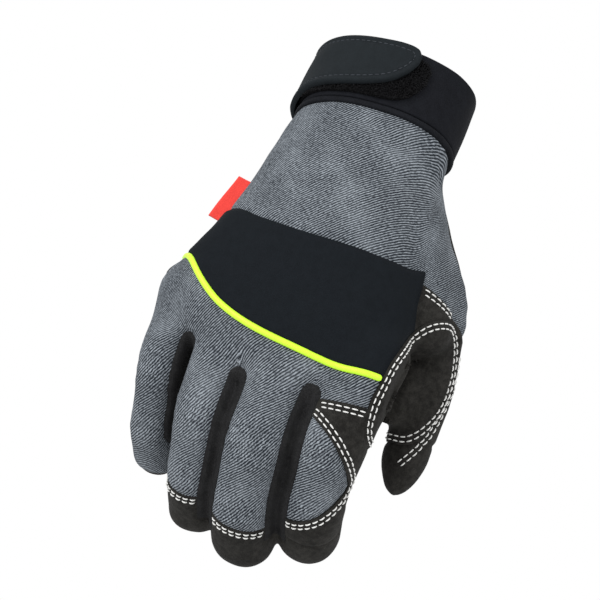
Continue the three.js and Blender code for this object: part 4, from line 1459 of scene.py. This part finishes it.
def dress(obj, key):
    """Gives a piece its material."""
    obj.data.materials.clear()
    obj.data.materials.append(material(key))
    return obj


class GLOVE_OT_covers(bpy.types.Operator):
    """Builds the filled hand and cuts it into the sewn covers"""

    bl_idname = "glove.covers"
    bl_label = "Covers"

    def execute(self, context):
        for name, sheet in cover_pieces().items():
            finish_cover(name, sheet)
        return {"FINISHED"}


class GLOVE_OT_piping(bpy.types.Operator):
    """Lays the bright cord along the lower edge of the knuckle panel"""

    bl_idname = "glove.piping"
    bl_label = "Piping"

    def execute(self, context):
        across = np.linspace(*PIPING_SPAN, 60)
        down = read_rows(PANEL_LOW, across, "down", "across")
        path = []
        for a, d in zip(across, down):
            start = Vector((a * size("hand_width"), -200, -d * size("hand_length")))
            hit, normal, _, _ = work["skin"].ray_cast(start, Vector((0, 1, 0)))
            if hit is not None:
                path.append(hit + normal * 0.1)
        path = even(smoothed(np.array(path), 3), 0.8)
        radius = size("piping_width") / 2 * 0.92 * np.ones(len(path))
        radius[0] = radius[-1] = 0.6 * radius[1]
        finish_piece(new_object("piping_cord", *tube(path, radius, 16)), "piping", "piping")
        return {"FINISHED"}


class GLOVE_OT_cuff(bpy.types.Operator):
    """Builds the elastic band around the wrist and its bound edge"""

    bl_idname = "glove.cuff"
    bl_label = "Cuff"

    def execute(self, context):
        wall, proud, height = size("cover_wall"), size("cuff_proud"), size("cuff_height")
        outline = dense(rounded(height, wall + proud, 0.9), 1.2) - (0, wall)
        wrist_ring("cuff_band_cloth", outline, 0.12, "cuff", "cuff_band")
        outline = rounded(size("binding_height"), wall + 1.2, 1.1) + (height + 0.2, -wall)
        wrist_ring("cuff_binding_roll", outline, 0.08, "binding", "cuff_binding")
        return {"FINISHED"}


class GLOVE_OT_strap(bpy.types.Operator):
    """Builds the fuzzy patch on the cuff and the strap that closes over it"""

    bl_idname = "glove.strap"
    bl_label = "Strap"

    def execute(self, context):
        base = size("cuff_proud") + 0.25
        wrist_patch("loop_patch_base", "loop_patch", PATCH, PATCH_ANGLES, base,
                    size("patch_thickness") * 0.8, lambda away, flat: 0.0, "loop", 90, 20)
        self.pile()
        sewn = (STRAP_ANGLES[0] - PATCH_ANGLES[0]) / (STRAP_ANGLES[0] - STRAP_ANGLES[1])
        rise = size("patch_thickness") + 0.35

        def relief(away, flat):
            rim = 0.3 * np.exp(-((away - 1.3) / 0.9) ** 2)
            groove = 0.28 * np.exp(-((away - 2.9) / 0.45) ** 2)
            sway = 0.12 * np.sin(flat[:, 0] * 0.21 + flat[:, 1] * 0.3)
            return rim - groove + sway.reshape(away.shape)

        wrist_patch("closure_strap_band", "closure_strap", STRAP, STRAP_ANGLES,
                    lambda share: base + rise * smoothstep(share, 0.3 * sewn, 0.95 * sewn),
                    size("strap_thickness"), relief, "strap", 220, 44)
        self.strap_thread()
        return {"FINISHED"}

    def pile(self):
        """Short loops of pile where the strap leaves the patch bare."""
        rng = np.random.default_rng(5)
        sheet = work["loop_patch_base"]
        height = size("cuff_height")
        parts = []
        while len(parts) < PILE_LOOPS:
            share = rng.random()
            top, low = (float(along_rows(PATCH, share, k)) for k in ("top", "low"))
            down = (top + (low - top) * rng.random()) * height
            angle = PATCH_ANGLES[0] + (PATCH_ANGLES[1] - PATCH_ANGLES[0]) * share
            on = (STRAP_ANGLES[0] - angle) / (STRAP_ANGLES[0] - STRAP_ANGLES[1])
            if on <= 1.0:
                under = float(along_rows(STRAP, on, "low")) * height + 0.2
                over = float(along_rows(STRAP, on, "top")) * height - 0.2
                if over < down < under:
                    continue
            lift = sheet["base"][0] + sheet["thickness"] * 0.8
            root = on_wrist(angle, down, lift)
            tip = on_wrist(angle, down, lift + 1.0)
            up = tip - root
            side = np.cross(up, rng.normal(size=3))
            side /= np.linalg.norm(side)
            tall, wide = rng.uniform(0.5, 1.25), rng.uniform(0.15, 0.45)
            bend = np.linspace(0, math.pi * rng.uniform(0.6, 1.0), 5)
            path = root + np.sin(bend)[:, None] * up * tall + (
                (1 - np.cos(bend))[:, None] * side * wide)
            parts.append(tube(path, 0.1, 3))
        finish_piece(new_object("loop_pile", *merged(parts)), "pile", None, 180)

    def strap_thread(self):
        """Tonal stitches inside the edge of the strap."""
        strap = work["closure_strap_band"]
        outline = dense(strap["outline"], 0.5)
        middle = outline.mean(0)
        t = unit(np.roll(outline, -2, 0) - np.roll(outline, 2, 0))
        inward = np.stack([-t[:, 1], t[:, 0]], 1)
        sign = np.sign(((middle - outline) * inward).sum(1).sum())
        row = outline + inward * sign * 2.9
        row = row[edge_away(row, strap["outline"]) > 2.7]
        lift = np.interp(row[:, 0], strap["run"], strap["base"]) + strap["thickness"]
        points = on_patch("closure_strap_band", row, lift - 0.16)
        outer = on_patch("closure_strap_band", row, lift + 1.0)
        gaps = np.linalg.norm(np.diff(points, axis=0), axis=1)
        parts = []
        breaks = np.flatnonzero(gaps > 2) + 1
        for a, b in zip(np.append(0, breaks), np.append(breaks, len(points))):
            if b - a < 12:
                continue
            run = even(points[a:b], 0.42)
            up = (outer - points)[a]
            for k in range(0, len(run) - 6, 6):
                share = np.linspace(-1, 1, 5)
                path = run[k:k + 5] + np.array([up * (0.1 * (1 - v * v)) for v in share])
                parts.append(tube(path, 0.26 * (1 - 0.4 * np.abs(share) ** 3), 5))
        finish_piece(new_object("strap_thread", *merged(parts)), "strap_thread", None)


class GLOVE_OT_tag(bpy.types.Operator):
    """Folds the small bare tag into the seam on the little-finger side"""

    bl_idname = "glove.tag"
    bl_label = "Tag"

    def execute(self, context):
        length = size("tag_length")
        edge = []
        for share in (-0.5, 0.5):
            down = TAG["down"] + share * length / size("hand_length")
            edge.append((float(read_rows(HAND, down, "mid_x") - read_rows(
                HAND, down, "half_width")) * size("hand_width"), -down * size("hand_length")))
        (x0, z0), (x1, z1) = edge
        run = np.array([x1 - x0, 0, z1 - z0])
        run /= np.linalg.norm(run)
        out = np.array([run[2], 0, -run[0]])
        out *= -np.sign(out[0])
        front = np.array([0, -1.0, 0])
        middle = np.array([(x0 + x1) / 2, TAG["y"] * size("hand_depth"), (z0 + z1) / 2])
        reach = size("tag_reach") + 1.6
        # Outline of the folded cloth: out on the front layer, round the fold, back behind
        leg = np.linspace(0, reach, 12)
        bend = np.linspace(0, math.pi, 7)[1:-1]
        gap, thick = 0.27, 0.2
        centre = np.array([(v, gap + 0.1 * math.sin(v * 0.8)) for v in leg]
                          + [(reach + gap * math.sin(b), gap * math.cos(b)) for b in bend]
                          + [(v, -gap + 0.1 * math.sin(v * 0.8)) for v in leg[::-1]])
        t = unit(np.gradient(centre, axis=0))
        side = np.stack([t[:, 1], -t[:, 0]], 1) * thick / 2
        loop = np.vstack([centre + side, (centre - side)[::-1]])
        rings = []
        for v in np.linspace(-0.5, 0.5, 26):
            bow = 0.35 * math.sin(v * 5.2 + 0.6)
            rings.append([middle + run * v * length + out * (q[0] - 1.3)
                          + front * (q[1] + bow * q[0] / reach) for q in loop])
        finish_piece(new_object("side_tag_cloth", *capped_rings(np.array(rings))), "tag",
                     "side_tag")
        return {"FINISHED"}


class GLOVE_OT_thread(bpy.types.Operator):
    """Sews the double rows of white stitches"""

    bl_idname = "glove.thread"
    bl_label = "Stitches"

    def execute(self, context):
        lines = work["lines"]

        def across_finger(name, end):
            def keep(p):
                at = finger_place(lines[name], p)
                return ((np.abs(past_end(at, name, end)) < 1.2)
                        & (at["palm"] < 0.16 * at["half"])
                        & (np.abs(at["side"]) < at["half"] * 1.02))
            return keep

        def round_patch(p):
            return (np.abs(patch_disc(p)) < 0.8) & (finger_block(p, "index", 0, 1) < -0.4)

        def web(p):
            return (np.abs(side_panel_end(p)) < 0.8) & (p[:, 1] < 0.3 * size("hand_depth"))

        rows = [
            ("thumb_oval", lambda p: np.ones(len(p), bool), (1.3, 3.3)),
            ("index_patch", round_patch, (-1.4, -3.3)),
            ("index_back", across_finger("index", BACK_ENDS["index"]), (1.6, 3.4)),
            ("palm", across_finger("ring", BACK_ENDS["ring"]), (1.5, 3.2)),
            ("palm", across_finger("middle", BACK_ENDS["middle"]), (1.5, 3.2)),
            ("thumb_web", web, (1.4, 3.5)),
        ]
        parts = []
        for cover, keep, shifts in rows:
            for shift in shifts:
                for path in seam_path(cover, keep, shift):
                    parts += stitches(path)
        outer = even(from_view(THUMB_ROWS), 1.0)
        for shift in (0.0, 2.0):
            parts += stitches(outer + sideways(outer) * shift)
        finish_piece(new_object("white_thread", *merged(parts)), "thread")
        return {"FINISHED"}


class GLOVE_OT_stage(bpy.types.Operator):
    """Adds the floor, the lights and the camera"""

    bl_idname = "glove.stage"
    bl_label = "Stage"

    def execute(self, context):
        bpy.ops.object.select_all(action="DESELECT")
        bpy.ops.mesh.primitive_plane_add(size=FLOOR["size"], location=FLOOR["place"])
        floor = context.object
        floor.name = "floor"
        floor.data.materials.append(Wiring("floor").done((0.86, 0.86, 0.86, 1), None, 0.9))
        world = bpy.data.worlds.new("studio")
        world.use_nodes = True
        sky = world.node_tree.nodes["Background"]
        sky.inputs[0].default_value = (1, 1, 1, 1)
        sky.inputs[1].default_value = 1.0
        context.scene.world = world
        context.scene.view_settings.view_transform = "Standard"
        for row in LIGHTS:
            data = bpy.data.lights.new(row["name"], "AREA")
            data.energy, data.size = row["energy"], row["size"]
            lamp = bpy.data.objects.new(row["name"], data)
            lamp.location = row["place"]
            aim = Vector(LIGHTS_AIM) - Vector(row["place"])
            lamp.rotation_euler = aim.to_track_quat("-Z", "Y").to_euler()
            context.scene.collection.objects.link(lamp)
        data = bpy.data.cameras.new("camera")
        camera = bpy.data.objects.new("camera", data)
        context.scene.collection.objects.link(camera)
        context.scene.camera = camera
        turn, rise, roll = (math.radians(v) for v in (VIEW["turn"], -VIEW["drop"],
                                                      VIEW["roll"]))
        back = Vector((math.sin(turn) * math.cos(rise), -math.cos(turn) * math.cos(rise),
                       math.sin(rise)))
        right = Vector((math.cos(turn), math.sin(turn), 0))
        up = back.cross(right)
        rolled = right * math.cos(roll) + up * math.sin(roll)
        upward = up * math.cos(roll) - right * math.sin(roll)
        place = Vector(CAMERA["aim"]) + back * CAMERA["away"]
        data.sensor_width, data.lens = CAMERA["sensor"], CAMERA["lens"]
        camera.matrix_world = Matrix(((rolled.x, upward.x, back.x, place.x),
                                      (rolled.y, upward.y, back.y, place.y),
                                      (rolled.z, upward.z, back.z, place.z), (0, 0, 0, 1)))
        return {"FINISHED"}


class GLOVE_PT_panel(bpy.types.Panel):
    bl_idname = "GLOVE_PT_panel"
    bl_label = "Glove"
    bl_space_type = "VIEW_3D"
    bl_region_type = "UI"
    bl_category = "Glove"

    def draw(self, context):
        for group in (context.scene.glove_sizes, context.scene.glove_colours):
            for name in group.__annotations__:
                self.layout.prop(group, name)
        for operator in OPERATORS:
            self.layout.operator(operator.bl_idname)


OPERATORS = (GLOVE_OT_covers, GLOVE_OT_piping, GLOVE_OT_cuff, GLOVE_OT_strap, GLOVE_OT_tag,
             GLOVE_OT_thread, GLOVE_OT_stage)
CLASSES = (GloveSizes, GloveColours, *OPERATORS, GLOVE_PT_panel)


def register():
    for kind in CLASSES:
        bpy.utils.register_class(kind)
    bpy.types.Scene.glove_sizes = bpy.props.PointerProperty(type=GloveSizes)
    bpy.types.Scene.glove_colours = bpy.props.PointerProperty(type=GloveColours)


def unregister():
    del bpy.types.Scene.glove_colours
    del bpy.types.Scene.glove_sizes
    for kind in reversed(CLASSES):
        bpy.utils.unregister_class(kind)


def main():
    register()
    bpy.ops.glove.covers()
    bpy.ops.glove.piping()
    bpy.ops.glove.cuff()
    bpy.ops.glove.strap()
    bpy.ops.glove.tag()
    bpy.ops.glove.thread()
    bpy.ops.glove.stage()


if __name__ == "__main__":
    main()
